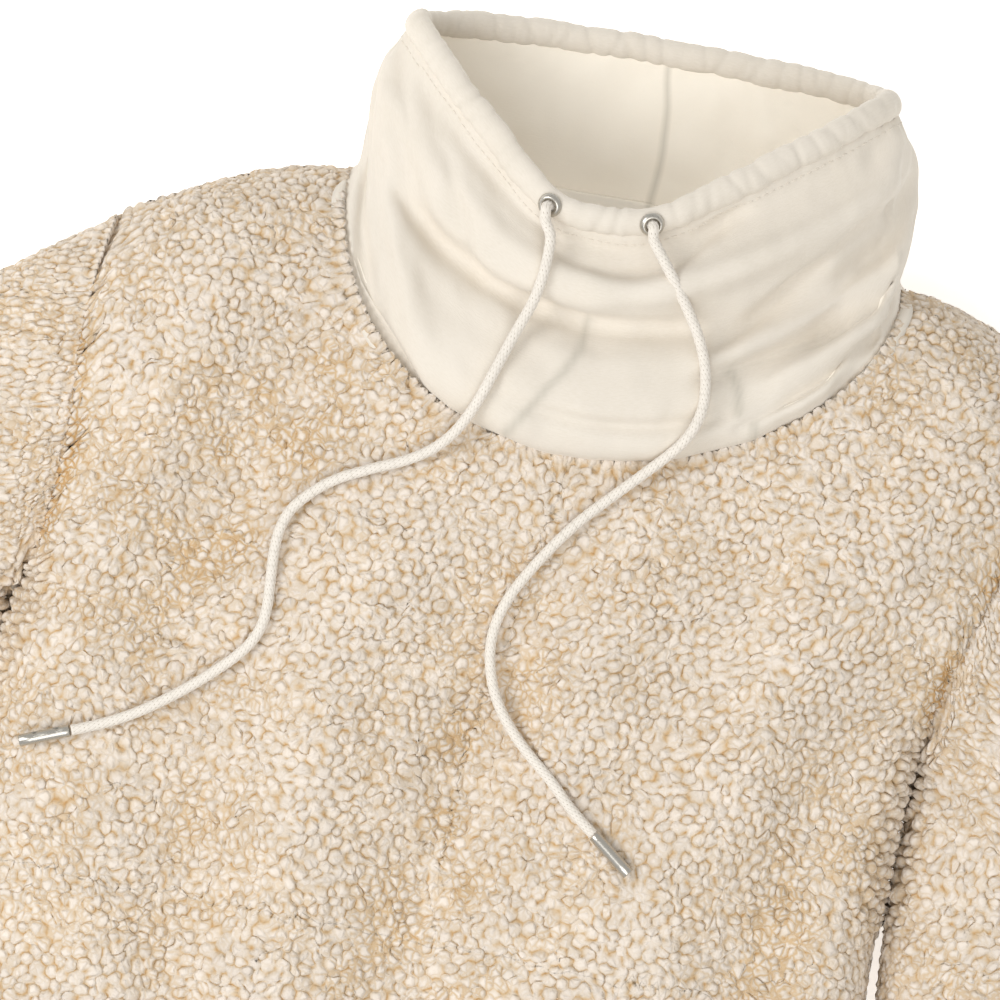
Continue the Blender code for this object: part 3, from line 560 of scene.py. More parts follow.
def tube_faces(rings: int, sides: int, base: int = 0) -> list[list[int]]:
    """Faces of a tube of points, ring by ring from point base, with its two ends."""
    i, m = np.meshgrid(np.arange(rings - 1), np.arange(sides), indexing="ij")
    n = (m + 1) % sides
    faces = np.stack([i * sides + m, i * sides + n, (i + 1) * sides + n, (i + 1) * sides + m], axis=2)
    ends = (range(sides), range(rings * sides - 1, (rings - 1) * sides - 1, -1))
    return (faces.reshape(-1, 4) + base).tolist() + [[base + k for k in end] for end in ends]


# Form of the body


SIDE_TABLE = table(SIDE_COLUMNS, SIDES)


def side_x(side: Side, y: Array) -> Array:
    """The x of the body's side at a height y."""
    return smooth_at(SIDE_TABLE["y"], SIDE_TABLE[side.word], y)


def quarter_round(distance: Array, radius: float) -> Array:
    """Rise of a quarter circle from 0 at the edge to 1 at one radius in."""
    t = np.clip(distance / radius, 0.0, 1.0)
    return np.sqrt(1.0 - (1.0 - t) ** 2)


def neck_point_y(x: Array) -> Array:
    """Height of the neck-shoulder points."""
    return BODY.neck_y - BODY.lean * np.clip(x / BODY.neck_half, -1.0, 1.0)


def shoulder_y(x: Array) -> Array:
    """The shoulder line from the neck-shoulder points out to the tips."""
    left = np.clip((-BODY.neck_half - x) / (-BODY.neck_half - BODY.left_x), 0.0, 1.2)
    right = np.clip((x - BODY.neck_half) / (BODY.right_x - BODY.neck_half), 0.0, 1.2)
    near = neck_point_y(x)
    return near + (BODY.tip_y - near) * np.maximum(left, right) ** BODY.shoulder_power


def neck_ellipse(x: Array) -> Array:
    """1 at the low point of the neck curve and 0 at the neck-shoulder points."""
    t = np.clip(np.abs(x) / BODY.neck_half, 0.0, 1.0)
    return np.sqrt(1.0 - t * t)


def neck_front_y(x: Array) -> Array:
    """The front neck seam."""
    lean = 1.0 - BODY.neck_skew / BODY.neck_half * (x / BODY.neck_half)
    near = neck_point_y(x)
    return near - (BODY.neck_front_drop + near) * neck_ellipse(x) * lean


def neck_back_y(x: Array) -> Array:
    """The back neck seam."""
    near = neck_point_y(x)
    return near + (BODY.neck_back_rise - near) * neck_ellipse(x)


def armhole_bump(y: Array) -> Array:
    """1 at the widest of the armhole, 0 at the shoulder tip and the underarm."""
    middle = (BODY.tip_y + BODY.underarm_y) / 2.0
    half = (BODY.tip_y - BODY.underarm_y) / 2.0
    t = np.clip((y - middle) / half, -1.0, 1.0)
    return np.sqrt(np.maximum(1.0 - t * t, 0.0))


def fold_height(x: Array, y: Array, rows: Rows = FRONT_FOLDS,
                steps: int = 16) -> Array:
    """Soft folds, each a ridge or trough along a curve of the plan.

    Args:
        x: Places across.
        y: Places along.
        rows: The folds, of the front unless others are given.
        steps: Places along a fold that are looked at.

    Returns:
        How far the cloth stands out or in.
    """
    total = np.zeros_like(x)
    for row in rows:
        fold = dict(zip(FOLD_COLUMNS, row))
        nearest = np.full_like(x, 1.0e9)
        along = np.zeros_like(x)
        for k in range(steps + 1):
            t = k / steps
            px = (1 - t) ** 2 * fold["x0"] + 2 * t * (1 - t) * fold["x1"] + t * t * fold["x2"]
            py = (1 - t) ** 2 * fold["y0"] + 2 * t * (1 - t) * fold["y1"] + t * t * fold["y2"]
            d = np.hypot(x - px, y - py)
            along = np.where(d < nearest, t, along)
            nearest = np.minimum(nearest, d)
        fade = BODY.fold_end + (1.0 - BODY.fold_end) * np.sin(np.pi * along) ** BODY.fold_power
        total += fold["height"] * fade * np.exp(-(nearest / fold["half_width"]) ** 2)
    return total


def front_z(x: Array, y: Array) -> Array:
    """Top of the front panel at a place of the plan."""
    down = np.clip((BODY.tip_y - y) / (BODY.tip_y - BODY.hem_y), 0.0, 1.0)
    crown = BODY.chest_z + (BODY.hem_z - BODY.chest_z) * down
    in_side = np.minimum(x - side_x(Side.LEFT, y), side_x(Side.RIGHT, y) - x)
    across = quarter_round(in_side, BODY.side_round)
    over = quarter_round(shoulder_y(x) - y, BODY.shoulder_round)
    edge = BODY.seam_z + (BODY.armhole_top_z - BODY.seam_z) * armhole_bump(y) * over
    top = BODY.seam_z + (crown + fold_height(x, y) - BODY.seam_z) * over
    return edge + (top - edge) * across


def back_z(x: Array, y: Array) -> Array:
    """Underside of the back panel at a place of the plan."""
    in_side = np.minimum(x - side_x(Side.LEFT, y), side_x(Side.RIGHT, y) - x)
    in_neck = neck_back_y(x) - y + neck_ellipse(x) * BODY.back_round
    in_edge = np.where(np.abs(x) < BODY.neck_half, in_neck, shoulder_y(x) - y)
    over = quarter_round(in_edge, BODY.back_round)
    across = quarter_round(in_side, BODY.back_round)
    edge = BODY.seam_z + (BODY.armhole_low_z - BODY.seam_z) * armhole_bump(y)
    low = edge * (1.0 - across) * over + BODY.seam_z * (1.0 - over)
    return np.minimum(low, BODY.seam_z - BODY.seam_gap)


def panel_top(neck_of: Callable, x: Array) -> Array:
    """Top edge of a body panel: its neck seam between its two shoulder seams."""
    return np.where(np.abs(x) <= BODY.neck_half, neck_of(x), shoulder_y(x))


def panel_grid(height_of: Callable, columns: int, rows: int) -> Array:
    """Points of a body panel in millimetres, from above its shoulders to its hem, columns first."""
    k = np.arange(columns) / (columns - 1.0)
    u = 0.4 * k + 0.6 * (1.0 - np.cos(np.pi * k)) / 2.0
    top = BODY.neck_back_rise + 4.0
    y = top + (BODY.hem_y - top) * (np.arange(rows) / (rows - 1.0)) ** 1.25
    y = np.broadcast_to(y[None, :], (columns, rows))
    left = side_x(Side.LEFT, y)
    x = left + u[:, None] * (side_x(Side.RIGHT, y) - left)
    return np.stack([x, y, height_of(x, y)], axis=2)


# Form of the sleeves


def sleeve_ring(origin: Sequence[float], direction: Sequence[float], across: float, height: float,
                seam: float, share: float) -> Array:
    """One ring of a sleeve, from its inner edge over the top to its outer edge and back."""
    a = math.tau * np.arange(SLEEVE.points) / SLEEVE.points
    reach = across * (1.0 - np.cos(a)) / 2.0
    lift = np.sin(a)
    over = seam + (height - seam) * np.maximum(lift, 0.0)
    power = 1.0 - SLEEVE.under_round * (1.0 - share)
    under = seam - (seam - BODY.armhole_low_z * share) * np.maximum(-lift, 0.0) ** power
    z = np.where(lift >= 0.0, over, under)
    return np.stack([origin[0] + direction[0] * reach, origin[1] + direction[1] * reach, z], axis=1)


def sleeve_rings(side: Side) -> Array:
    """Rings of a sleeve from the armhole to the cuff, points first."""
    sign = side.value
    rings = []
    for angle, drop, across, height in SLEEVE_FAN:
        turn = math.radians(angle)
        share = max(0.0, 1.0 - angle / SLEEVE.fan_share_angle)
        start_y = BODY.underarm_y - drop
        gap = SLEEVE.armhole_gap * share + SLEEVE.pivot_gap * (1.0 - share)
        pivot_x = float(side_x(side, np.array(start_y))) + sign * gap
        ring = sleeve_ring((pivot_x, start_y), (sign * math.sin(turn), math.cos(turn)), across, height,
                           BODY.seam_z, share)
        edge = side_x(side, ring[:, 1]) + sign * SLEEVE.armhole_gap
        ring[:, 0] += share * (edge - pivot_x)
        rings.append(ring)
    for y, gap, across, height in SLEEVE_ARM:
        inner = float(side_x(side, np.array(y))) + sign * gap
        seam = height * SLEEVE.seam_share
        rings.append(sleeve_ring((inner, y), (sign, 0.0), across, height, seam, 0.0))
    return np.array(rings).transpose(1, 0, 2)


def finer_along(grid: Array, count: int) -> Array:
    """More points along the second direction, on smooth curves."""
    rows = grid.shape[1]
    wanted = np.linspace(0.0, rows - 1.0, count)
    i = np.clip(wanted.astype(int), 0, rows - 2)
    t = (wanted - i)[None, :, None]
    return curve(grid[:, np.maximum(i - 1, 0)], grid[:, i], grid[:, i + 1],
                 grid[:, np.minimum(i + 2, rows - 1)], t)


def finer_round(grid: Array, count: int) -> Array:
    """More points round the first, closed direction, on smooth curves."""
    size = grid.shape[0]
    wanted = np.arange(count) * size / count
    i = wanted.astype(int)
    t = (wanted - i)[:, None, None]
    return curve(grid[(i - 1) % size], grid[i % size], grid[(i + 1) % size], grid[(i + 2) % size], t)


def grid_normals(grid: Array, closed: bool) -> Array:
    """Unit normals of a grid, from the lines through each point."""
    if closed:
        along = np.roll(grid, -1, axis=0) - np.roll(grid, 1, axis=0)
    else:
        along = np.gradient(grid, axis=0)
    return unit(np.cross(along, np.gradient(grid, axis=1)))


def tube_normals(grid: Array) -> Array:
    """Outward normals of a tube of cloth."""
    normals = grid_normals(grid, True)
    middle = grid.mean(axis=0, keepdims=True)
    return normals * math.copysign(1.0, float(np.sum(normals * (grid - middle))))


# Cloth and its flat cut


@dataclass
class Cloth:
    """A piece of cloth as a grid of points, with the flat cut that it was sewn from.

    Args:
        points: Outer points, columns first, in millimetres.
        normals: Outward normals.
        across_axes: Axes that count towards width on the cut.
        along_axes: Axes that count towards length on the cut.
        top_of: Top edge at an x, where the grid runs on past it.
    """

    points: Array
    normals: Array
    across_axes: tuple[int, ...] = (0, 1, 2)
    along_axes: tuple[int, ...] = (0, 1, 2)
    top_of: Callable | None = None
    flat: Array = field(init=False)
    slopes: Array = field(init=False)

    def __post_init__(self) -> None:
        """Lay the grid out flat from its middle column and its last row."""
        across = np.linalg.norm(np.diff(self.points[..., self.across_axes], axis=0), axis=2)
        along = np.linalg.norm(np.diff(self.points[..., self.along_axes], axis=1), axis=2)
        u = np.concatenate([np.zeros((1, across.shape[1])), np.cumsum(across, axis=0)])
        u = u - u[u.shape[0] // 2]
        v = np.concatenate([np.zeros((along.shape[0], 1)), np.cumsum(along, axis=1)], axis=1)
        v = v[:, -1:] - v
        self.flat = np.stack([u, v], axis=2)
        self.slopes = np.stack([np.gradient(self.flat, axis=0), np.gradient(self.flat, axis=1)], axis=3)

    def sample(self, values: Array, st: Array) -> Array:
        """Values of a grid at fractional places of it."""
        columns, rows = values.shape[:2]
        s = np.clip(st[:, 0], 0.0, columns - 1.0)
        t = np.clip(st[:, 1], 0.0, rows - 1.0)
        i = np.minimum(s.astype(int), columns - 2)
        j = np.minimum(t.astype(int), rows - 2)
        shape = (-1,) + (1,) * (values.ndim - 2)
        a = (s - i).reshape(shape)
        b = (t - j).reshape(shape)
        return ((1 - a) * (1 - b) * values[i, j] + a * (1 - b) * values[i + 1, j]
                + (1 - a) * b * values[i, j + 1] + a * b * values[i + 1, j + 1])

    def find(self, wanted: Array, passes: int = 40) -> Array:
        """Grid places of points of the flat cut."""
        columns, rows = self.flat.shape[:2]
        low = self.flat.reshape(-1, 2).min(axis=0)
        high = self.flat.reshape(-1, 2).max(axis=0)
        share = (wanted - low) / (high - low)
        st = np.stack([share[:, 0] * (columns - 1), (1.0 - share[:, 1]) * (rows - 1)], axis=1)
        for _ in range(passes):
            for axis in (0, 1):
                miss = wanted[:, axis] - self.sample(self.flat, st)[:, axis]
                slope = self.sample(self.slopes, st)[:, axis, axis]
                slope = np.where(np.abs(slope) < 0.05, math.copysign(0.05, 0.5 - axis), slope)
                st[:, axis] += np.clip(miss / slope * 0.85, -8.0, 8.0)
            st = np.clip(st, (0.0, 0.0), (columns - 1.0, rows - 1.0))
        return st

    def place_of(self, x: Array, y: Array) -> Array:
        """Grid places of points of the plan, for a grid whose rows each keep one y."""
        rows = self.points[0, :, 1]
        t = np.interp(-y, -rows, np.arange(len(rows)))
        st = np.stack([np.zeros_like(t), t], axis=1)
        columns = self.points.shape[0]
        row_x = np.stack([self.sample(self.points[..., 0], np.stack([np.full_like(t, i), t], axis=1))
                          for i in range(columns)])
        st[:, 0] = [np.interp(x[k], row_x[:, k], np.arange(columns)) for k in range(len(x))]
        return st

    def inside(self, st: Array) -> Array:
        """True for grid places that belong to the cloth."""
        if self.top_of is None:
            return np.full(len(st), True)
        spots = self.sample(self.points, st)
        return spots[:, 1] < self.top_of(spots[:, 0])

    def runs(self) -> list[Array]:
        """Grid places along the four edges: top, right, bottom and left."""
        columns, rows = self.flat.shape[:2]
        s = np.arange(columns, dtype=float)
        t = np.arange(rows, dtype=float)
        top = np.stack([s, np.zeros(columns)], axis=1)
        right = t
        left = t
        if self.top_of is not None:
            turn = np.linspace(0.0, math.pi, 241)
            neck = -BODY.neck_half * np.cos(turn)
            x = np.concatenate([np.linspace(BODY.left_x, -BODY.neck_half, 60), neck[1:-1],
                                np.linspace(BODY.neck_half, BODY.right_x, 60)])
            top = self.place_of(x, self.top_of(x))
            top[0, 0] = 0.0
            top[-1, 0] = columns - 1.0
            left = np.concatenate([[top[0, 1]], t[t > top[0, 1]]])
            right = np.concatenate([[top[-1, 1]], t[t > top[-1, 1]]])
        return [
            top,
            np.stack([np.full(len(right), columns - 1.0), right], axis=1),
            np.stack([s[::-1], np.full(columns, rows - 1.0)], axis=1),
            np.stack([np.zeros(len(left)), left[::-1]], axis=1),
        ]

    def border(self, pitch: float) -> tuple[Array, Array]:
        """Places along the four edges at an even pitch, and the edge that each is on."""
        places = []
        edges = []
        for edge, run in enumerate(self.runs()):
            spots = self.sample(self.flat, run)
            length = distances(spots)
            count = max(2, int(round(length[-1] / pitch)))
            wanted = np.arange(count) * length[-1] / count
            places.append(np.stack([np.interp(wanted, length, run[:, k]) for k in (0, 1)], axis=1))
            edges.append(np.full(count, edge))
        return np.concatenate(places), np.concatenate(edges)


# Triangles of a nub's sector for each detail: c is its tip, p and q its foot, the rest its rings
SECTOR_FACES = (
    (("c", "p", "q"),),
    (("c", "p2", "q2"), ("p2", "p", "q"), ("p2", "q", "q2")),
    (("c", "p1", "q1"), ("p1", "p2", "q2"), ("p1", "q2", "q1"), ("p2", "p", "q"), ("p2", "q", "q2")),
)
# Rings that a nub of each detail has between its tip and its foot
NUB_RINGS = ((), (1,), (0, 1))


@dataclass
class Pile:
    """The nubby face of a sherpa panel, over its plain inner face.

    Args:
        cloth: The panel that it covers.
        seed: Choice of the nubs' places.
        detail_of: Detail of each nub, 0 to 2, from its place and normal.
        lowest: Height that no point goes under.
        overhang: How far the nubs on the panel's edge lean out over its seams.
    """

    cloth: Cloth
    seed: int
    detail_of: Callable[[Array, Array], Array]
    lowest: float = -math.inf
    overhang: float = 1.4

    def outwards(self, edges: Array, bound: Array) -> Array:
        """Direction out over the seam at each nub on the panel's edge."""
        spots = self.cloth.sample(self.cloth.points, self.st)
        inner = np.zeros_like(spots)
        number = np.zeros(len(spots))
        for a, b in ((0, 1), (1, 0)):
            chosen = bound[edges[:, a]] & ~bound[edges[:, b]]
            np.add.at(inner, edges[chosen, a], spots[edges[chosen, b]])
            np.add.at(number, edges[chosen, a], 1.0)
        away = spots - inner / np.maximum(number, 1.0)[:, None]
        away[number == 0.0] = 0.0
        return unit(away)[bound]

    def scatter(self) -> None:
        """Choose the nubs' places on the flat cut and join neighbours."""
        rng = np.random.default_rng(self.seed)
        border, edges = self.cloth.border(PILE.edge_pitch)
        border_flat = self.cloth.sample(self.cloth.flat, border)
        low = border_flat.min(axis=0)
        high = border_flat.max(axis=0)
        rows = np.arange(low[1], high[1], PILE.pitch * math.sqrt(0.75))
        columns = np.arange(low[0], high[0], PILE.pitch)
        u, v = np.meshgrid(columns, rows)
        u = u + (np.arange(len(rows)) % 2)[:, None] * PILE.pitch / 2.0
        inner = np.stack([u.ravel(), v.ravel()], axis=1)
        inner += rng.normal(0.0, PILE.jitter * PILE.pitch * PILE.jitter_share, inner.shape)
        inner = inner[rng.random(len(inner)) > PILE.missing]
        st = self.cloth.find(inner)
        miss = np.linalg.norm(self.cloth.sample(self.cloth.flat, st) - inner, axis=1)
        columns_last, rows_last = np.array(self.cloth.flat.shape[:2]) - 1.0
        margin = PILE.grid_margin
        within = (st[:, 0] > margin) & (st[:, 0] < columns_last - margin)
        within &= (st[:, 1] > margin) & (st[:, 1] < rows_last - margin)
        keep = (miss < PILE.place_miss) & within & self.cloth.inside(st)
        inner = inner[keep]
        st = st[keep]
        nearest = np.full(len(inner), 1.0e9)
        for spot in border_flat:
            nearest = np.minimum(nearest, np.hypot(inner[:, 0] - spot[0], inner[:, 1] - spot[1]))
        keep = nearest > PILE.edge_clear * PILE.pitch
        self.flat = np.concatenate([border_flat, inner[keep]])
        self.st = np.concatenate([border, st[keep]])
        self.border_count = len(border)
        loop = [(k, (k + 1) % self.border_count) for k in range(self.border_count)]
        made = delaunay_2d_cdt([Vector(p) for p in self.flat.tolist()], loop, [], 0, 1.0e-5, True)
        sources = [source[0] if source else -1 for source in made[3]]
        triangles = np.array([[sources[i] for i in f] for f in made[2] if len(f) == 3])
        triangles = triangles[(triangles >= 0).all(axis=1)]
        turn = double_area(self.flat, triangles)
        triangles = np.where((turn > 0.0)[:, None], triangles, triangles[:, ::-1])
        centre = self.flat[triangles].mean(axis=1)
        centre_st = self.st[triangles].mean(axis=1)
        off = np.linalg.norm(self.cloth.sample(self.cloth.flat, centre_st) - centre, axis=1)
        edge_of = np.full((len(self.flat), 4), False)
        edge_of[np.arange(self.border_count), edges] = True
        corners = np.flatnonzero(np.diff(np.concatenate([[-1], edges])))
        edge_of[corners, (edges[corners] - 1) % 4] = True
        # A triangle with all its corners on one straight edge of the cut is left out
        straight = 0 if self.cloth.top_of is None else 1
        one_side = np.any(edge_of[triangles].all(axis=1)[:, straight:], axis=1)
        kept = (np.abs(turn) > PILE.thinnest) & (off < PILE.middle_miss) & ~one_side
        kept &= self.cloth.inside(centre_st)
        self.triangles = triangles[kept]

    def build(self, name: str, material: Material,
              part_of: Callable[[Array], Array] | None = None,
              names: Sequence[str] = ()) -> list[tuple[Piece, tuple[float, float], float]]:
        """Make the panel's mesh, in one piece or cut into several.

        Args:
            name: Name of the piece.
            material: The fleece.
            part_of: Number of the piece that a place belongs to.
            names: Names of the pieces, in that order.

        Returns:
            Each piece with its flat size and flat area in metres.
        """
        self.scatter()
        rng = np.random.default_rng(self.seed + 1)
        tri = self.triangles
        count = len(self.flat)
        pairs = np.concatenate([tri[:, [0, 1]], tri[:, [1, 2]], tri[:, [2, 0]]])
        edges, edge_ids = np.unique(np.sort(pairs, axis=1), axis=0, return_inverse=True)
        edge_ids = edge_ids.reshape(3, -1).T
        n_edges = len(edges)
        n_tri = len(tri)

        mid_st = self.st[edges].mean(axis=1)
        mid_flat = self.flat[edges].mean(axis=1)
        pit_st = self.st[tri].mean(axis=1)
        pit_flat = self.flat[tri].mean(axis=1)

        reach_sum = np.zeros(count)
        reach_number = np.zeros(count)
        for owners, rim_flat in ((edges, mid_flat), (tri, pit_flat)):
            for centre in owners.T:
                np.add.at(reach_sum, centre, np.linalg.norm(rim_flat - self.flat[centre], axis=1))
                np.add.at(reach_number, centre, 1.0)
        reach = reach_sum / np.maximum(reach_number, 1.0)

        height = np.clip(rng.normal(1.0, PILE.height_spread, count), *PILE.heights)
        height *= 1.0 + PILE.swell * waves(self.flat[:, 0], self.flat[:, 1], PILE.swell_size, self.seed + 5)
        tone = rng.random(count)
        lean = rng.normal(0.0, PILE.lean, (count, 3))
        bound = np.arange(count) < self.border_count
        height[bound] = np.clip(height[bound], *PILE.edge_heights)
        lean[bound] = self.outwards(edges, bound) * self.overhang
        low_mid = np.where(rng.random(n_edges) < PILE.joined, rng.uniform(*PILE.joined_low, n_edges),
                           rng.uniform(*PILE.parted_low, n_edges))
        low_pit = rng.uniform(*PILE.pit_low, n_tri)

        st = [self.st, mid_st, pit_st]
        rise = [height, low_mid * height[edges].mean(axis=1), low_pit * height[tri].mean(axis=1)]
        # Painted shade for the colour ramp: 1 on the tips, darker where nubs part and darkest in the pits
        # between them
        shade = [np.ones(count), PILE.shade_gain * low_mid - (PILE.shade_gain - 1.0),
                 PILE.pit_shade * low_pit]
        owner = [np.arange(count), edges[:, 0], tri[:, 0]]
        on_rim = bound[edges].all(axis=1) & (np.bincount(edge_ids.ravel(), minlength=n_edges) == 1)
        sway = [np.ones(count), np.where(on_rim, PILE.rim_sway, 0.0), np.zeros(n_tri)]
        rise[1] = np.where(on_rim, PILE.rim_rise, rise[1])
        shade[1] = np.where(on_rim, PILE.rim_shade, shade[1])

        def ring(centre: Array, rim_st: Array, rim_flat: Array, rim: Array,
                 place: Array) -> None:
            """Add the points of one ring, on the lines from the tips to a set of rim points."""
            away = np.linalg.norm(rim_flat - self.flat[centre], axis=1)
            even = PILE.even_ring * np.minimum(away, reach[centre])
            radius = place * ((1.0 - PILE.even_ring) * away + even)
            share = (radius / np.maximum(away, 1.0e-6))[:, None]
            st.append(self.st[centre] + (rim_st - self.st[centre]) * share)
            dome = np.sqrt(1.0 - place * place)
            rise.append(rim + (height[centre] - rim) * dome)
            # Painted shade falls from the tip down towards the rim's shade
            low = PILE.shade_gain * rim / np.maximum(height[centre], 0.1) - (PILE.shade_gain - 1.0)
            low = np.clip(low, 0.0, 1.0)
            shade.append(low + (1.0 - low) * dome ** PILE.shade_power)
            owner.append(centre)
            sway.append(dome)

        point = self.cloth.sample(self.cloth.points, self.st)
        normal = unit(self.cloth.sample(self.cloth.normals, self.st))
        detail = self.detail_of(point, normal)
        height += beside_sleeve(point, normal) / PILE.height
        height *= 1.0 - PILE.armhole_dip * armhole_dip(point, normal) * ~bound
        bases = []
        outer_ring = np.where(detail == 2, PILE.outer_ring, PILE.single_ring)
        for places in (np.full(count, PILE.inner_ring), outer_ring):
            bases.append(sum(len(part) for part in st))
            for k in (0, 1):
                ring(edges[:, k], mid_st, mid_flat, rise[1], places[edges[:, k]])
            for k in (0, 1, 2):
                ring(tri[:, k], pit_st, pit_flat, rise[2], places[tri[:, k]])

        st_all = np.concatenate(st)
        rise_all = np.concatenate(rise)
        painted_pit_shade = np.concatenate(shade)
        owner_all = np.concatenate(owner)
        sway_all = np.concatenate(sway)
        points = self.cloth.sample(self.cloth.points, st_all)
        normals = unit(self.cloth.sample(self.cloth.normals, st_all))
        shift = lean[owner_all]
        free = ~bound[owner_all]
        shift[free] -= (normals * np.sum(shift * normals, axis=1, keepdims=True))[free]
        points = points + normals * ((rise_all - 1.0) * PILE.height)[:, None]
        points += shift * sway_all[:, None] + rng.normal(0.0, PILE.rough, points.shape)
        outer_count = len(points)
        points = np.concatenate([points, point - normal * BODY.wall])
        points[:, 2] = np.maximum(points[:, 2], self.lowest)
        painted_pit_shade = np.concatenate([painted_pit_shade, np.full(count, PILE.inner_shade)])
        painted_light_and_shade = np.zeros(len(points))
        tone_all = np.concatenate([tone[owner_all], tone])
        if self.cloth.top_of is not None:
            # Painted light on the ridges of the front's folds, painted shade in their troughs and along the
            # armhole seams
            folds = fold_height(points[:, 0], points[:, 1])
            painted_light_and_shade = PILE.fold_painted_light * np.clip(folds / PILE.fold_full, -1.0, 1.0)
            painted_light_and_shade[:outer_count] -= PILE.armhole_painted_shade * armhole_dip(points[:outer_count], normals)

        def ring_mid(level: int, ids: Array, centre: Array) -> Array:
            """Points of a ring towards the middles of edges."""
            second = edges[ids, 1] == centre
            return bases[level] + ids + np.where(second, n_edges, 0)

        part = np.zeros(n_tri, dtype=int) if part_of is None else part_of(pit_flat)
        faces: list[Array] = []
        face_part: list[Array] = []

        t = np.arange(n_tri)
        pit = count + n_edges + t
        for corner in (0, 1, 2):
            centre = tri[:, corner]
            to_next = edge_ids[:, corner]
            to_last = edge_ids[:, (corner + 2) % 3]
            towards_pit = [base + 2 * n_edges + corner * n_tri + t for base in bases]
            for ids, pit_first in ((to_next, False), (to_last, True)):
                rims = [(count + ids, pit)]
                rims += [(ring_mid(level, ids, centre), towards_pit[level]) for level in (0, 1)]
                spots = {"c": centre}
                for mark, rim in zip(("", "1", "2"), rims):
                    spots["p" + mark], spots["q" + mark] = rim[::-1] if pit_first else rim
                for level, sector in enumerate(SECTOR_FACES):
                    which = np.flatnonzero(detail[centre] == level)
                    for names_of_face in sector:
                        faces.append(np.stack([spots[name] for name in names_of_face], axis=1)[which])
                        face_part.append(part[which])
        faces.append(outer_count + tri[:, ::-1])
        face_part.append(part)
        all_faces = np.concatenate(faces)
        all_parts = np.concatenate(face_part)

        made = []
        for number, piece in enumerate(names or (name,)):
            chosen = [all_faces[all_parts == number]]
            own = np.flatnonzero(part == number)
            used = np.concatenate([edge_ids[own, k] for k in range(3)])
            ends = np.concatenate([np.stack([tri[own, k], tri[own, (k + 1) % 3]], axis=1) for k in range(3)])
            once = np.bincount(used, minlength=n_edges)[used] == 1
            walls = []
            for ids, (a, b) in zip(used[once].tolist(), ends[once].tolist()):
                chain = [a, *self.rim_chain(a, ids, edges, detail, bases, n_edges, False), count + ids,
                         *self.rim_chain(b, ids, edges, detail, bases, n_edges, True), b]
                middle = chain.index(count + ids)
                inner_a = outer_count + a
                inner_b = outer_count + b
                for k in range(middle):
                    walls.append((chain[k + 1], chain[k], inner_a))
                walls.append((inner_b, count + ids, inner_a))
                for k in range(middle, len(chain) - 1):
                    walls.append((chain[k + 1], chain[k], inner_b))
            chosen.append(np.array(walls).reshape(-1, 3))
            rows = np.concatenate(chosen)
            used_points, rows = np.unique(rows, return_inverse=True)
            rows = rows.reshape(-1, 3)
            # pile carries the painted shade of the pits and fold the painted light and shade of the folds;
            # tone is each nub's own random tone
            obj = mesh_object(piece, placed(points[used_points]), rows.tolist(), material,
                              {"pile": painted_pit_shade[used_points], "tone": tone_all[used_points],
                               "fold": painted_light_and_shade[used_points]})
            span = np.ptp(self.flat[tri[own]].reshape(-1, 2), axis=0)
            area = np.abs(double_area(self.flat, tri[own])).sum() / 2.0
            made.append((obj, (float(span[0]) * MM, float(span[1]) * MM), float(area) * MM * MM))
            log.info("%s: %d triangles, cut %.0f by %.0f mm", piece, len(rows), span[0], span[1])
        return made

    @staticmethod
    def rim_chain(centre: int, ids: int, edges: Array, detail: Array, bases: Sequence[int],
                  n_edges: int, inwards: bool) -> list[int]:
        """Ring points between a tip and the middle of an edge of the panel."""
        second = n_edges if edges[ids, 1] == centre else 0
        chain = [bases[level] + ids + second for level in NUB_RINGS[int(detail[centre])]]
        return chain[::-1] if inwards else chain


# Form of the collar and its casing


def front_vee(share: float) -> float:
    """Front rim from its corners: straight runs down to a level stretch between the eyelets."""
    corner = COLLAR.corners[0] if share < 0.0 else COLLAR.corners[1]
    run = (1.0 - abs(share)) / (1.0 - corner)
    low = math.exp(-COLLAR.corner_soft * run) + math.exp(-COLLAR.corner_soft)
    return -math.log(low) / COLLAR.corner_soft


def ring_point(row: Sequence[float], a: float) -> Array:
    """A point of a collar ring at angle a: 0 left, a quarter at the front, a half right."""
    ring = dict(zip(RING_COLUMNS, row))
    c = math.cos(a)
    s = math.sin(a)
    share = -math.copysign(abs(c) ** COLLAR.ring_square, c)
    x = (ring["left"] + ring["right"]) / 2.0 + (ring["right"] - ring["left"]) / 2.0 * share
    rise = math.sqrt(max(0.0, 1.0 - share * share))
    if s >= 0.0:
        lean = 1.0 - BODY.neck_skew / BODY.neck_half * share * (1.0 - ring["vee"])
        blend = rise * lean + (front_vee(share) - rise * lean) * ring["vee"]
        y = ring["y_side"] + (ring["y_front"] - ring["y_side"]) * blend
        z = ring["z_side"] + (ring["z_front"] - ring["z_side"]) * rise
    else:
        y = ring["y_side"] + (ring["y_back"] - ring["y_side"]) * rise
        z = ring["z_side"] + (ring["z_back"] - ring["z_side"]) * rise ** COLLAR.corner_power
    return np.array((x, y + COLLAR.rim_lean * share * ring["vee"], z))


def seam_point(a: float) -> Array:
    """A point of the collar's first ring, just inside the body's neck edge."""
    x = ring_point(COLLAR_RINGS[0], a)[0]
    at = np.array(x * BODY.neck_half / COLLAR.seam_half)
    if math.sin(a) >= 0.0:
        y = float(neck_front_y(at))
        z = float(front_z(at, np.array(y))) - COLLAR.sunk
    else:
        y = float(neck_back_y(at))
        z = float(back_z(at, np.array(y))) + COLLAR.lift
    gap = COLLAR.back_gap + (COLLAR.front_gap - COLLAR.back_gap) * max(0.0, math.sin(a))
    return np.array((x, y + gap, z))


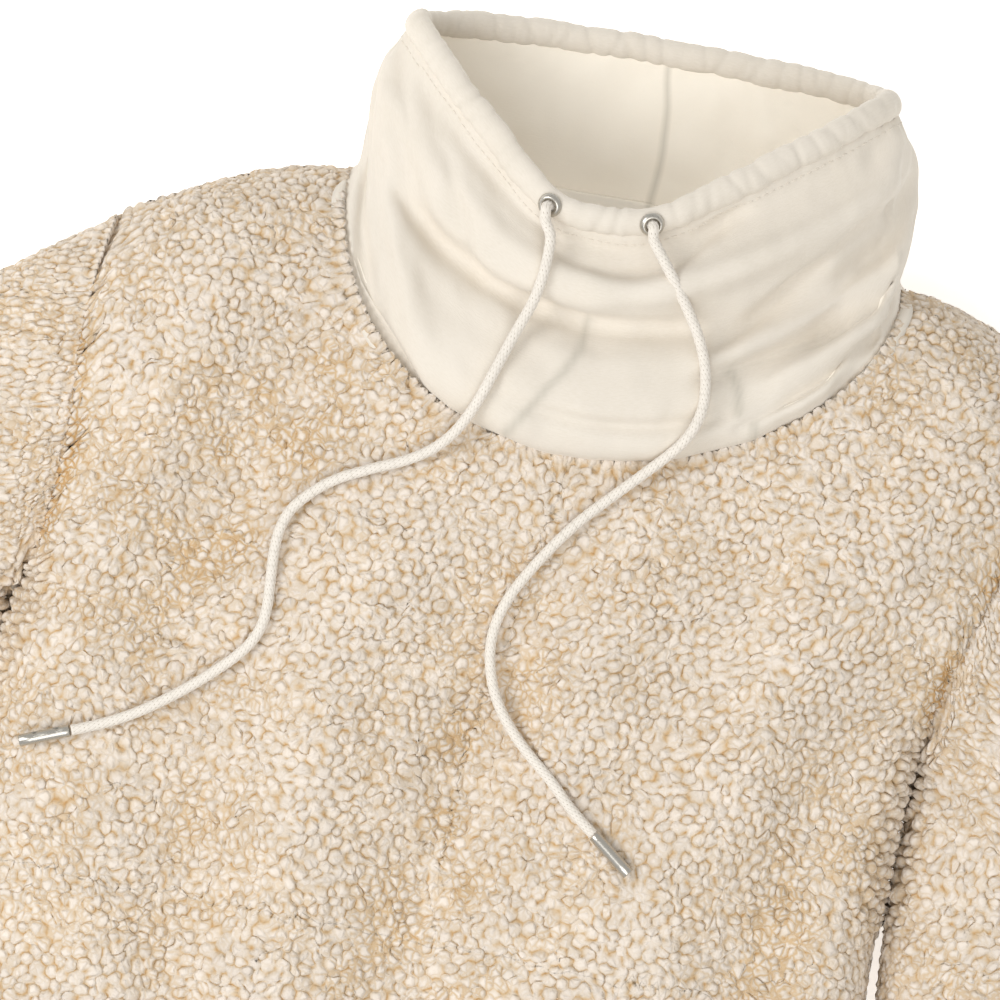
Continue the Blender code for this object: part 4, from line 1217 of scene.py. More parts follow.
def collar_fold(turn: float, rise: float) -> float:
    """How far the collar's wall stands out or in at a place on it."""
    total = 0.0
    spot = np.array((turn * COLLAR.turn_span, rise * COLLAR.rise_span))
    for row in COLLAR_FOLDS:
        fold = dict(zip(COLLAR_FOLD_COLUMNS, row))
        start = np.array((fold["turn0"] * COLLAR.turn_span, fold["rise0"] * COLLAR.rise_span))
        run = np.array((fold["turn1"] * COLLAR.turn_span, fold["rise1"] * COLLAR.rise_span)) - start
        t = min(max(float(np.dot(spot - start, run) / np.dot(run, run)), 0.0), 1.0)
        away = float(np.linalg.norm(spot - start - run * t))
        total += fold["depth"] * math.exp(-(away / fold["half_width"]) ** 2)
    return total


def collar_grid() -> Array:
    """Rings of the collar, from the neck seam to the foot of the casing, points first."""
    grid = []
    for k in range(COLLAR.points):
        a = math.tau * k / COLLAR.points
        seam = seam_point(a)
        front = max(0.0, math.sin(a))
        column = []
        for n, row in enumerate(COLLAR_RINGS):
            point = ring_point(row, a)
            if n < len(COLLAR.follow):
                lift = COLLAR.rise[n] * front + COLLAR.side_lift * n * (1.0 - front)
                near = seam + np.array((COLLAR.inset[n] * math.cos(a), COLLAR.forward[n], lift))
                near[2] = near[2] if front > 0.0 else min(near[2], seam[2])
                point = point + (near - point) * COLLAR.follow[n]
            column.append(point)
        grid.append(column)
    grid = np.array(grid)
    normals = tube_normals(grid)
    for k in range(COLLAR.points // 2 + 1):
        for n in range(2, len(COLLAR_RINGS) - 1):
            rise = n / (len(COLLAR_RINGS) - 1.0)
            grid[k, n] += normals[k, n] * collar_fold(2.0 * k / COLLAR.points, rise)
    return grid


def casing_centre(a: float) -> tuple[Array, Array]:
    """Middle line of the casing: the rim of the collar carried on by its rise."""
    rim = ring_point(COLLAR_RINGS[-1], a)
    along = unit(rim - ring_point(COLLAR_RINGS[-2], a))
    return rim + along * COLLAR.casing_rise, along


def casing_frame(a: float) -> tuple[Array, Array, Array]:
    """Centre of the casing, its direction away from the collar and its outward side."""
    step = 0.02
    centre, along = casing_centre(a)
    run = unit(casing_centre(a + step)[0] - casing_centre(a - step)[0])
    outward = unit(np.cross(run, along))
    return centre - outward * COLLAR.wall * 0.5, np.cross(outward, run), outward


def creases(x: Array, length: float, pitch: float, width: float, seed: int,
            slant: Array | float = 0.0) -> Array:
    """Narrow gathers along a closed line, 0 between them and 1 or a little more at the deepest.

    Args:
        x: Places along the line.
        length: The line's whole length.
        pitch: Usual distance between gathers.
        width: Half width of a gather.
        seed: Choice of places.
        slant: How far a gather may have moved along at each point.

    Returns:
        Depth of the gathers.
    """
    rng = np.random.default_rng(seed)
    count = int(length / pitch)
    total = np.zeros(np.broadcast(x, slant).shape)
    for k in range(count):
        place = (k + rng.uniform(-0.34, 0.34)) * length / count
        deep = rng.uniform(0.35, 1.0)
        turn = rng.uniform(-1.0, 1.0)
        off = x - place - slant * turn
        off = (off + length / 2.0) % length - length / 2.0
        total += deep * np.exp(-(off / (width * rng.uniform(0.7, 1.3))) ** 2)
    return np.minimum(total, 1.2)


# Surfaces that the cords lie on


def surface_tree(names: Sequence[str]) -> BVHTree:
    """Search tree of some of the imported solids' surfaces."""
    verts = []
    faces = []
    for name in names:
        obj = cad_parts[name]
        base = len(verts)
        verts.extend(obj.matrix_world @ v.co for v in obj.data.vertices)
        faces.extend([base + i for i in p.vertices] for p in obj.data.polygons)
    return BVHTree.FromPolygons(verts, faces)


def top_at(tree: BVHTree, x: float, y: float) -> float:
    """Highest point of the surfaces at a place of the plan, in millimetres."""
    hit = tree.ray_cast(Vector(placed((x, y, 400.0))), Vector((0.0, 0.0, -1.0)))
    return hit[0].z / MM if hit[0] is not None else 0.0


def eyelet_seat(tree: BVHTree, x: float) -> tuple[Vector, Vector]:
    """An eyelet's place on the casing's skin and the direction that it faces."""
    low = 0.1 * math.pi
    high = 0.9 * math.pi
    for _ in range(40):
        middle = (low + high) / 2.0
        if casing_frame(middle)[0][0] < x:
            low = middle
        else:
            high = middle
    centre, _, outward = casing_frame(low)
    axis = Vector(outward)
    point = tree.ray_cast(Vector(placed(centre)) + axis * (40.0 * MM), -axis)[0]
    return point / MM - Vector(SHIFT) + axis * FITTING.touch_gap, axis


def draped(tree: BVHTree, x: float, y: float, radius: float) -> float:
    """Height of a cord's middle where it rests on what lies under it."""
    highest = top_at(tree, x, y) + radius
    for share in (0.5, 0.85, 1.1):
        lift = radius * math.sqrt(max(0.0, 1.0 - share * share))
        for k in range(8):
            a = math.pi * k / 4.0
            spot = top_at(tree, x + radius * share * math.cos(a), y + radius * share * math.sin(a))
            highest = max(highest, spot + lift)
    return highest + FITTING.cord_clear


def rested(tree: BVHTree, points: list[Vector], first: int, radius: float) -> list[Vector]:
    """Lift a cord's points until no stretch between them cuts what it lies on."""
    need = [draped(tree, p.x, p.y, radius) if k >= first else p.z for k, p in enumerate(points)]
    need[-1] += FITTING.tip_radius - radius + FITTING.touch_gap
    for k in range(first, len(points)):
        points[k].z = need[k]
    for _ in range(FITTING.settle_passes):
        for k in range(first, len(points)):
            ahead = points[min(k + 1, len(points) - 1)].z
            points[k].z = max(need[k], (points[k - 1].z + ahead) / 2.0 - FITTING.cord_sag)
        for k in range(first - 1, len(points) - 1):
            middle = (points[k] + points[k + 1]) / 2.0
            short = draped(tree, middle.x, middle.y, radius) - middle.z
            if short > 0.0:
                points[k].z += short if k >= first else 0.0
                points[k + 1].z += short
    return points


def smooth_route(points: Sequence[Vector], step: float) -> list[Vector]:
    """Points at even steps on a smooth curve through the route."""
    knots = [points[0]] + list(points) + [points[-1]]
    dense = []
    for k in range(1, len(knots) - 2):
        dense.extend(curve(*knots[k - 1:k + 3], m / CURVE_STEPS) for m in range(CURVE_STEPS))
    dense.append(points[-1])
    lengths = [0.0]
    for a, b in zip(dense, dense[1:]):
        lengths.append(lengths[-1] + (b - a).length)
    count = max(2, round(lengths[-1] / step))
    result = []
    for k in range(count + 1):
        want = lengths[-1] * k / count
        i = min(max(int(np.searchsorted(lengths, want)) - 1, 0), len(dense) - 2)
        t = (want - lengths[i]) / max(lengths[i + 1] - lengths[i], 1.0e-9)
        result.append(dense[i].lerp(dense[i + 1], t))
    return result


def cord_points(tree: BVHTree, seat: Vector, axis: Vector, route: Rows) -> list[Vector]:
    """The cord's path: out of its eyelet, over the collar and down the chest."""
    radius = FITTING.cord / 2.0
    clear = seat + axis * (FITTING.eyelet_high + FITTING.cord_rise)
    knots = [clear, clear + axis * 2.4 + Vector((0.0, -2.4, 0.0))]
    for x, y in route:
        knots.append(Vector((x, y, draped(tree, x, y, radius))))
    points = [seat + axis * 0.1] + smooth_route(knots, FITTING.cord_step)
    return rested(tree, points, FITTING.free_points, radius)


# Finishes


def linear(hex_colour: str) -> tuple[float, float, float, float]:
    """A hex colour in linear light."""
    parts = [int(hex_colour[i:i + 2], 16) / 255.0 for i in (1, 3, 5)]
    parts = [p / 12.92 if p <= 0.04045 else ((p + 0.055) / 1.055) ** 2.4 for p in parts]
    return (*parts, 1.0)


def add(tree: Tree, kind: str, settings: dict | None = None,
        links: dict | None = None) -> Node:
    """Add a node to a material.

    Args:
        tree: The material's node tree.
        kind: Type of the node.
        settings: Attributes by name, or input values by socket name or number.
        links: Sockets that feed the node's inputs.

    Returns:
        The new node.
    """
    node = tree.nodes.new(kind)
    for key, value in (settings or {}).items():
        if isinstance(key, str) and hasattr(node, key):
            setattr(node, key, value)
        else:
            node.inputs[key].default_value = value
    for key, socket in (links or {}).items():
        tree.links.new(socket, node.inputs[key])
    return node


def ramp(tree: Tree, source: Socket,
         stops: Sequence[tuple[float, str]]) -> Node:
    """A colour ramp with hex stops."""
    node = add(tree, "ShaderNodeValToRGB", links={"Fac": source})
    band = node.color_ramp
    while len(band.elements) < len(stops):
        band.elements.new(0.5)
    for element, (place, colour) in zip(band.elements, stops):
        element.position = place
        element.color = linear(colour)
    return node


def attribute(tree: Tree, name: str) -> Socket:
    """A point attribute of the piece's mesh."""
    return add(tree, "ShaderNodeAttribute", {"attribute_name": name}).outputs["Fac"]


def noise(tree: Tree, place: Socket, scale: float, detail: float,
          roughness: float = 0.5) -> Socket:
    """Soft noise, with its scale in waves a metre."""
    settings = {"Scale": scale, "Detail": detail, "Roughness": roughness}
    return add(tree, "ShaderNodeTexNoise", settings, {"Vector": place}).outputs["Fac"]


def maths(tree: Tree, operation: str, *values: Socket | float) -> Socket:
    """The result of an operation on sockets and numbers."""
    sockets = {k: v for k, v in enumerate(values) if isinstance(v, Socket)}
    numbers = {k: v for k, v in enumerate(values) if k not in sockets}
    return add(tree, "ShaderNodeMath", {"operation": operation, **numbers}, sockets).outputs[0]


def mapped(tree: Tree, value: Socket, source: tuple[float, float],
           target: tuple[float, float] = (0.0, 1.0), kind: str = "LINEAR") -> Socket:
    """A value carried from one range to another."""
    settings = dict(zip(("From Min", "From Max", "To Min", "To Max"), source + target))
    settings["interpolation_type"] = kind
    return add(tree, "ShaderNodeMapRange", settings, {"Value": value}).outputs[0]


def bumped(tree: Tree, shader: Node,
           *layers: tuple[Socket, float, float]) -> None:
    """Roughen a surface by layers, each a height, its strength and its distance in metres."""
    links = {}
    for height, strength, distance in layers:
        settings = {"Strength": strength, "Distance": distance}
        bump = add(tree, "ShaderNodeBump", settings, {"Height": height, **links})
        links = {"Normal": bump.outputs["Normal"]}
    tree.links.new(links["Normal"], shader.inputs["Normal"])


def new_material(name: str, settings: dict) -> tuple[Material, Tree, Node]:
    """A Principled material with its constants, and its tree and shader."""
    material = bpy.data.materials.new(name)
    material.use_nodes = True
    tree = material.node_tree
    shader = tree.nodes["Principled BSDF"]
    for key, value in settings.items():
        shader.inputs[key].default_value = value
    return material, tree, shader


@dataclass(frozen=True)
class FleeceFinish:
    """Colours of the sherpa, darkest with painted shade in the pits between its nubs and palest on their
    tips.
    """

    pit: str = "#c29a69"
    low: str = "#cfb592"
    middle: str = "#dacbb8"
    tip: str = "#e7dcd0"
    roughness: float = 0.95


@dataclass(frozen=True)
class KnitFinish:
    """Colours of the smooth brushed knit, with painted light on its inner face."""

    light: str = "#e5ddd1"
    shade: str = "#dbd2c3"
    # Painted light on the inner face: a lighter colour there, and the share of it that glows
    inside: str = "#f7f0e3"
    # The seams' colour, also used as painted shade in the casing's gathers
    seam: str = "#bdb7aa"
    roughness: float = 0.88
    through: float = 0.13


@dataclass(frozen=True)
class CordFinish:
    """Colours of the braided cord: the yarn's own, and painted shade between its strands."""

    light: str = "#ebe4da"
    shade: str = "#9d8f78"
    roughness: float = 0.8


@dataclass(frozen=True)
class MetalFinish:
    """Colour of the nickel."""

    colour: str = "#c4c0b8"
    roughness: float = 0.28


def fleece_material(finish: FleeceFinish) -> Material:
    """Curled polyester sherpa: pale nubs with painted tan shade in the pits and a fine hairy surface."""
    material, tree, shader = new_material("sherpa_fleece", {"Roughness": finish.roughness,
                                                            "Specular IOR Level": 0.15})
    place = add(tree, "ShaderNodeTexCoord").outputs["Object"]
    hair = noise(tree, place, 1100.0, 1.0, 0.65)
    curl = noise(tree, place, 420.0, 1.0)
    patch = noise(tree, place, 26.0, 0.0)
    clumps = noise(tree, place, 34.0, 0.0)
    # Small lobes on every nub, their outlines bent by noise
    wobble = add(tree, "ShaderNodeTexNoise", {"Scale": 260.0, "Detail": 1.0}, {"Vector": place})
    bent = add(tree, "ShaderNodeVectorMath", {"operation": "MULTIPLY_ADD", 1: (0.003, 0.003, 0.003)},
               {0: wobble.outputs["Color"], 2: place})
    lobes = add(tree, "ShaderNodeTexVoronoi", {"feature": "DISTANCE_TO_EDGE", "Scale": 195.0},
                {"Vector": bent.outputs[0]}).outputs["Distance"]
    # Painted shade: tan in the pits between nubs and in the lines between lobes, more in some clumps, darker
    # in the folds' troughs and along the armhole seams, paler on the fold ridges
    level = maths(tree, "ADD", attribute(tree, "pile"), maths(tree, "MULTIPLY_ADD", curl, 0.5, -0.25))
    even = mapped(tree, clumps, (0.38, 0.62), (0.3, 0.58))
    line = mapped(tree, lobes, (0.0, 0.26), (0.0, 0.8), "SMOOTHSTEP")
    small = maths(tree, "ADD", line, maths(tree, "ADD", even, attribute(tree, "fold")))
    colour = ramp(tree, maths(tree, "MINIMUM", level, small),
                  ((0.0, finish.pit), (0.22, finish.low), (0.5, finish.middle), (0.9, finish.tip)))
    # Each nub and each wide patch is a little lighter or darker than the next
    light = mapped(tree, attribute(tree, "tone"), (0.0, 1.0), (0.93, 1.04))
    wide = mapped(tree, patch, (0.3, 0.7), (0.97, 1.03))
    toned = add(tree, "ShaderNodeHueSaturation", links={"Color": colour.outputs["Color"],
                                                        "Value": maths(tree, "MULTIPLY", light, wide)})
    tree.links.new(toned.outputs["Color"], shader.inputs["Base Color"])
    # Heights of the lobes, the curls and the hair
    swell = maths(tree, "MULTIPLY", mapped(tree, lobes, (0.0, 0.3), kind="SMOOTHSTEP"), 0.45 * MM)
    curled = maths(tree, "MULTIPLY_ADD", curl, 0.3 * MM, swell)
    bumped(tree, shader, (maths(tree, "MULTIPLY_ADD", hair, 0.14 * MM, curled), 1.0, 1.0))
    return material


def knit_material(name: str, finish: KnitFinish) -> Material:
    """Smooth brushed jersey: fine rows across, with a soft bloom."""
    material, tree, shader = new_material(name, {"Roughness": finish.roughness, "Sheen Weight": 0.25,
                                                 "Specular IOR Level": 0.2})
    place = add(tree, "ShaderNodeTexCoord").outputs["Object"]
    spot = add(tree, "ShaderNodeCombineXYZ",
               links={"X": attribute(tree, "turn"), "Y": attribute(tree, "rise")})
    rows = add(tree, "ShaderNodeMapping", {"Scale": (0.35, 1.6, 1.0)}, {"Vector": spot.outputs[0]})
    cross = noise(tree, rows.outputs[0], 1.0, 4.0, 0.6)
    cloud = noise(tree, place, 30.0, 3.0)
    level = maths(tree, "MULTIPLY_ADD", cloud, 0.35, maths(tree, "MULTIPLY_ADD", cross, 0.6, 0.2))
    colour = ramp(tree, level, ((0.35, finish.shade), (0.75, finish.light)))
    # Painted light: the inner face takes a lighter colour
    within = attribute(tree, "within")
    brushed = add(tree, "ShaderNodeMix", {"data_type": "RGBA", 7: linear(finish.inside)},
                  {0: within, 6: colour.outputs["Color"]})
    # Seam colour along the seams, and painted shade in the casing's gathers
    seamed = add(tree, "ShaderNodeMix", {"data_type": "RGBA", 7: linear(finish.seam)},
                 {0: attribute(tree, "band"), 6: brushed.outputs[2]})
    tree.links.new(seamed.outputs[2], shader.inputs["Base Color"])
    # Painted light: the inner face glows faintly in its own colour, in place of light that comes through the
    # thin knit
    tree.links.new(seamed.outputs[2], shader.inputs["Emission Color"])
    tree.links.new(maths(tree, "MULTIPLY", within, finish.through), shader.inputs["Emission Strength"])
    bumped(tree, shader, (cross, 0.35, 0.4 * MM), (noise(tree, place, 1500.0, 2.0), 0.25, 0.2 * MM))
    return material


def cord_material(finish: CordFinish) -> Material:
    """Round braid of soft cotton-like yarn, with painted shade between its strands."""
    material, tree, shader = new_material("braided_cord", {"Roughness": finish.roughness,
                                                           "Sheen Weight": 0.2})
    place = add(tree, "ShaderNodeTexCoord").outputs["Object"]
    # Painted shade in the hollows between the strands
    colour = ramp(tree, attribute(tree, "braid"), ((0.0, finish.shade), (0.45, finish.light)))
    tree.links.new(colour.outputs["Color"], shader.inputs["Base Color"])
    bumped(tree, shader, (noise(tree, place, 1600.0, 3.0), 0.4, 0.2 * MM))
    return material


def metal_material(finish: MetalFinish) -> Material:
    """Bright nickel plate with faint brushing."""
    material, tree, shader = new_material("nickel", {"Base Color": linear(finish.colour),
                                                     "Metallic": 1.0})
    place = add(tree, "ShaderNodeTexCoord").outputs["Object"]
    brushed = noise(tree, place, 900.0, 3.0)
    rough = mapped(tree, brushed, (0.0, 1.0), (finish.roughness - 0.08, finish.roughness + 0.12))
    tree.links.new(rough, shader.inputs["Roughness"])
    bumped(tree, shader, (brushed, 0.12, 0.1 * MM))
    return material


# Pieces


def declared(piece: Piece, slot: str, *nodes: str) -> None:
    """Attach a piece to the root and hide the solids that it stands for."""
    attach(piece, "root")
    if nodes:
        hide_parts(*nodes)


def laid(piece: Piece, nodes: Sequence[str],
         slot: str) -> None:
    """Attach a sewn piece of cloth to the root and hide the solid that it stands for."""
    declared(piece, slot, *nodes)


@dataclass
class Panels:
    """The front and the back of the body."""

    material: Material

    @staticmethod
    def cloth(grid: Array, facing: float, neck_of: Callable) -> Cloth:
        """A body panel as cloth, facing up if facing is 1 and down if -1."""
        normals = grid_normals(grid, False)
        normals *= facing * np.sign(normals[..., 2:3] + 1.0e-9)
        return Cloth(grid, normals, (0, 2), (1, 2), lambda x: panel_top(neck_of, x))

    def front(self) -> None:
        """The front panel, its mesh cut where no seam shows so that no piece is too heavy."""
        cloth = self.cloth(panel_grid(front_z, *BODY.front_grid), 1.0, neck_front_y)
        def part_of(flat: Array) -> Array:
            """Upper left, upper right or lower stretch."""
            upper = np.where(flat[:, 0] < BODY.front_cut_x, 0, 1)
            return np.where(flat[:, 1] < BODY.front_cut_y, 2, upper)

        pile = Pile(cloth, 11, DETAIL_FRONT, BODY.seam_z - 1.0, BODY.front_overhang)
        names = ("front_sherpa_upper_left", "front_sherpa_upper_right", "front_sherpa_lower")
        made = pile.build("front", self.material, part_of, names)
        for number, (piece, flat, area) in enumerate(made):
            laid(piece, ("front",) if number == 0 else (), "sherpa_fleece")

    def back(self) -> None:
        """The back panel, flat where it rests."""
        cloth = self.cloth(panel_grid(back_z, *BODY.back_grid), -1.0, neck_back_y)
        pile = Pile(cloth, 12, DETAIL_BACK, 0.0)
        piece, flat, area = pile.build("back_sherpa", self.material)[0]
        laid(piece, ("back",), "sherpa_fleece")


def off_side(points: Array) -> Array:
    """How far points of the plan are from the nearer side of the body."""
    left, right = (np.abs(points[:, 0] - side_x(side, points[:, 1])) for side in Side)
    return np.minimum(left, right)


def beside_sleeve(points: Array, normals: Array) -> Array:
    """How much longer the nubs are in the crevice below the armholes, where they touch."""
    low, high = PILE.crevice
    above = soft_step(high, high + PILE.crevice_soft, points[:, 1])
    band = soft_step(low - PILE.crevice_soft, low, points[:, 1]) * (1.0 - above)
    near = 1.0 - soft_step(*PILE.crevice_near, off_side(points))
    upper = PILE.crevice_upper * above * (normals[:, 2] > 0.0)
    return (PILE.crevice_reach * band + upper) * near * np.abs(normals[:, 0])


def armhole_dip(points: Array, normals: Array) -> Array:
    """1 along the armhole seams, where the stitches hold the nubs down."""
    along = soft_step(*PILE.armhole_low, points[:, 1]) * (1.0 - soft_step(*PILE.armhole_high, points[:, 1]))
    near = 1.0 - soft_step(*PILE.armhole_near, off_side(points))
    return near * along * (normals[:, 2] > 0.0)


def detail_above(close: float, near: float) -> Callable:
    """Detail 2 in view where the cloth faces up more than close, else 1 above near, else 0."""
    def detail_of(points: Array, normals: Array) -> Array:
        """Detail of the nub at each place."""
        seen = in_view(points) & (normals[:, 2] > close)
        return np.where(seen, 2, np.where(normals[:, 2] > near, 1, 0))

    return detail_of


DETAIL_FRONT = detail_above(-0.2, 0.1)
DETAIL_SLEEVE = detail_above(0.0, 0.75)
DETAIL_BACK = detail_above(math.inf, math.inf)


@dataclass
class Sleeve:
    """A sleeve with its seam under the arm."""

    side: Side
    material: Material

    def build(self) -> None:
        """Make the sleeve."""
        rings = sleeve_rings(self.side)
        rings = finer_along(finer_round(rings, SLEEVE.around), SLEEVE.along)
        normals = tube_normals(rings)
        rings = np.concatenate([rings, rings[:1]])
        normals = np.concatenate([normals, normals[:1]])
        cloth = Cloth(rings, normals)
        name = "sleeve_" + self.side.word
        pile = Pile(cloth, 20 + int(self.side.value), DETAIL_SLEEVE, 0.0)
        piece, flat, area = pile.build(name + "_sherpa", self.material)[0]
        laid(piece, (name,), "sherpa_fleece")


@dataclass
class Collar:
    """The funnel collar and the casing along its rim."""

    material: Material

    def collar(self) -> None:
        """The knit tube from the neck seam to the casing."""
        grid = finer_along(finer_round(collar_grid(), COLLAR.around), COLLAR.up - 1)
        tucked = grid[:, -1] + unit(grid[:, -1] - grid[:, -2]) * COLLAR.tuck
        grid = np.concatenate([self.facing(grid[:, 0]), grid[:, 1:], tucked[:, None]], axis=1)
        rows_all = grid.shape[1]
        normals = tube_normals(grid)
        run = np.linalg.norm(np.roll(grid, -1, axis=0) - grid, axis=2).mean(axis=1)
        turn = np.concatenate([[0.0], np.cumsum(run)[:-1]])[:, None] * np.ones((1, rows_all))
        length = float(run.sum())
        climb = np.linalg.norm(np.diff(grid, axis=1), axis=2)
        rise = np.concatenate([np.zeros((COLLAR.around, 1)), np.cumsum(climb, axis=1)], axis=1)
        below = rise[:, -1:] - rise
        fade = soft_step(0.0, 12.0, rise)
        gathers = creases(turn, length, COLLAR.gather_pitch, COLLAR.gather_width, 31,
                          below * COLLAR.gather_slant) * np.exp(-below / COLLAR.gather_reach)
        wander = (waves(turn, rise * 1.6, COLLAR.wander_size, 32) * COLLAR.wander
                  + waves(turn, rise, COLLAR.ripple_size, 33) * COLLAR.ripple)
        front = (turn < length / 2.0) & (normals[..., 2] > -0.3)
        x = grid[..., 0]
        y = grid[..., 1]
        steps_front, steps_back = COLLAR.crease_steps
        by_hand = np.where(front, fold_height(x, y, COLLAR_CREASES, steps_front),
                           -fold_height(x, y, BACK_CREASES, steps_back))
        near_rim = soft_step(COLLAR.tuck, COLLAR.tuck + 4.0, below)
        out = (wander + by_hand * near_rim - gathers * COLLAR.gather_depth) * fade
        shown = self.shown_seams(grid) * front
        out += COLLAR.shown_rise * shown
        outer = grid + normals * out[..., None]
        inner = grid + normals * (out - COLLAR.wall)[..., None]
        columns, rows = outer.shape[:2]
        half = columns * rows
        wall = quads(columns, rows)
        i = np.arange(columns)
        j = (i + 1) % columns
        rims = []
        for row in (0, rows - 1):
            first = i * rows + row
            second = j * rows + row
            rim = np.stack([first, second, half + second, half + first], axis=1)
            rims.append(rim[:, ::-1] if row == 0 else rim)
        faces = np.concatenate([wall, half + wall[:, ::-1], *rims])
        verts = np.concatenate([outer.reshape(-1, 3), inner.reshape(-1, 3)])
        off_seam = (turn - COLLAR.back_seam * length) / COLLAR.back_seam_width
        back_seam = COLLAR.back_seam_shade * np.exp(-off_seam ** 2)
        band = np.concatenate([COLLAR.shown_shade * shown.ravel(), back_seam.ravel()])
        # The inner wall gets the knit's painted light
        both = {"turn": np.tile(turn.ravel(), 2), "rise": np.tile(rise.ravel(), 2), "band": band,
                "within": np.repeat([0.0, COLLAR.inner_painted_light], half)}
        piece = mesh_object("collar_knit", placed(verts), faces.tolist(), self.material, both)
        facing_out(piece)
        laid(piece, ("collar",), "ivory_knit")
        log.info("collar: %d faces, %.0f mm round", len(faces), length)
        self.stitches(outer, normals)

    @staticmethod
    def facing(first: Array) -> Array:
        """The collar's lowest rows: at the back they lie on the panel's inner face, where it shows."""
        turn = math.tau * np.arange(len(first)) / len(first)
        back = soft_step(0.1, 0.5, -np.sin(turn))
        flare = soft_step(-0.05, 0.15, np.sin(turn))[:, None] * COLLAR.flare
        away = unit((first - first.mean(axis=0)) * (1.0, 1.0, 0.0))
        first = first + (0.0, 0.0, 1.0) * flare * (COLLAR.edge_up / COLLAR.flare)
        turned_up = first + away * flare * 0.5
        turned_up[:, 1] -= 0.3 + 0.7 * back
        turned_up[:, 2] += (COLLAR.facing_z - first[:, 2]) * back - 0.1
        inwards = turned_up + away * flare * 0.5
        inwards[:, 1] -= 0.3 + (COLLAR.facing - 0.3) * back
        inwards[:, 2] -= 0.1
        return np.stack([inwards, turned_up, first], axis=1)

    @staticmethod
    def shown_seams(grid: Array) -> Array:
        """Where the seam inside shows through the front, 1 along its middle."""
        nearest = np.full(grid.shape[:2], 1.0e9)
        spot = grid[..., :2]
        for line in SHOWN_SEAMS:
            for a, b in zip(line, line[1:]):
                start = np.array(a)
                run = np.array(b) - start
                t = np.clip(((spot - start) @ run) / (run @ run), 0.0, 1.0)
                away = np.linalg.norm(spot - start - t[..., None] * run, axis=-1)
                nearest = np.minimum(nearest, away)
        return np.exp(-(nearest / COLLAR.shown_width) ** 2)

    def stitches(self, outer: Array, normals: Array) -> None:
        """The row of stitches below the casing, one thread end to end with the next."""
        below = np.linalg.norm(np.diff(outer[:, ::-1], axis=1), axis=2).cumsum(axis=1)
        want = COLLAR.tuck + COLLAR.stitch_below
        row = np.array([int(np.searchsorted(b, want)) for b in below])
        columns = np.arange(len(outer))
        line = outer[columns, -2 - row]
        face = normals[columns, -2 - row]
        run = distances(np.concatenate([line, line[:1]]))
        total = run[-1]
        count = int(total / COLLAR.stitch_pitch)

        def at(values: Array, place: float) -> Array:
            """A value on the closed line at a distance along it."""
            closed = np.concatenate([values, values[:1]])
            return np.array([np.interp(place % total, run, closed[:, k]) for k in range(3)])

        verts = []
        faces = []
        sides = COLLAR.thread_sides
        for k in range(count):
            middle = total * k / count
            base = len(verts)
            for share, thick in STITCH_STATIONS:
                place = middle + share * COLLAR.stitch
                spot = at(line, place)
                out = unit(at(face, place))
                ahead = unit(at(line, place + 1.0) - at(line, place - 1.0))
                across = np.cross(out, ahead)
                for m in range(sides):
                    a = math.tau * m / sides
                    radius = COLLAR.thread * thick
                    verts.append(spot + out * (radius * math.sin(a) + COLLAR.thread_lift * thick)
                                 + across * radius * math.cos(a))
            faces.extend(tube_faces(len(STITCH_STATIONS), sides, base))
        verts = np.array(verts)
        zeros = np.zeros(len(verts))
        piece = mesh_object("casing_stitches", placed(verts), faces, self.material,
                            {"turn": zeros, "rise": zeros, "band": zeros})
        facing_out(piece)
        declared(piece, "ivory_knit")
        log.info("stitches: %d", count)

    def casing(self, eyelets: Sequence[Vector]) -> None:
        """The puffy tunnel that the drawcord runs in."""
        steps = COLLAR.casing_steps
        sides = COLLAR.casing_sides
        frames = [casing_frame(math.tau * k / steps) for k in range(steps)]
        centre = np.array([f[0] for f in frames])
        along = np.array([f[1] for f in frames])
        outward = np.array([f[2] for f in frames])
        run = np.linalg.norm(np.roll(centre, -1, axis=0) - centre, axis=1)
        length = float(run.sum())
        turn = np.concatenate([[0.0], np.cumsum(run)[:-1]])[:, None]
        b = math.pi + math.tau * (np.arange(sides)[None, :] / (sides - 1.0)
                                   * (1.0 - 2.0 * COLLAR.casing_open) + COLLAR.casing_open)
        high = np.cos(b)
        gathers = creases(turn, length, COLLAR.gather_pitch, COLLAR.casing_gather_width, 31,
                          COLLAR.casing_slant * high)
        small = creases(turn, length, COLLAR.pucker_pitch, COLLAR.pucker_width, 35,
                        COLLAR.pucker_slant * high)
        puff = COLLAR.puff + COLLAR.puff_spread * waves(turn, b * 6.0, COLLAR.puff_size, 36)
        flat = np.ones_like(gathers)
        for seat in eyelets:
            away = np.linalg.norm(centre - np.array(seat), axis=1)[:, None]
            flat = np.minimum(flat, soft_step(*COLLAR.eyelet_flat, away))
        out = (puff - COLLAR.casing_gather * gathers - COLLAR.pucker * small) * flat
        half_high = COLLAR.casing_half_high + out
        half_deep = COLLAR.casing_half_deep + out
        points = (centre[:, None, :] + along[:, None, :] * (high * half_high)[..., None]
                  + outward[:, None, :] * (np.sin(b) * half_deep)[..., None])
        faces = quads(steps, sides)[:, [0, 3, 2, 1]]
        spread = np.broadcast_to(b / math.tau * COLLAR.casing_cloth, gathers.shape)
        # The gathers get painted shade in the seam colour
        shade = {"turn": np.broadcast_to(turn, gathers.shape).ravel(), "rise": spread.ravel(),
                 "band": (0.1 * gathers * flat).ravel()}
        piece = mesh_object("drawcord_casing_knit", placed(points.reshape(-1, 3)), faces.tolist(),
                            self.material, shade)
        laid(piece, ("drawcord_casing",), "ivory_knit")
        log.info("casing: %d faces, %.0f mm round", len(faces), length)


def facing_out(obj: Piece) -> None:
    """Turn a closed mesh's faces outwards."""
    work = bmesh.new()
    work.from_mesh(obj.data)
    bmesh.ops.recalc_face_normals(work, faces=work.faces)
    work.to_mesh(obj.data)
    work.free()


# Fittings and cords


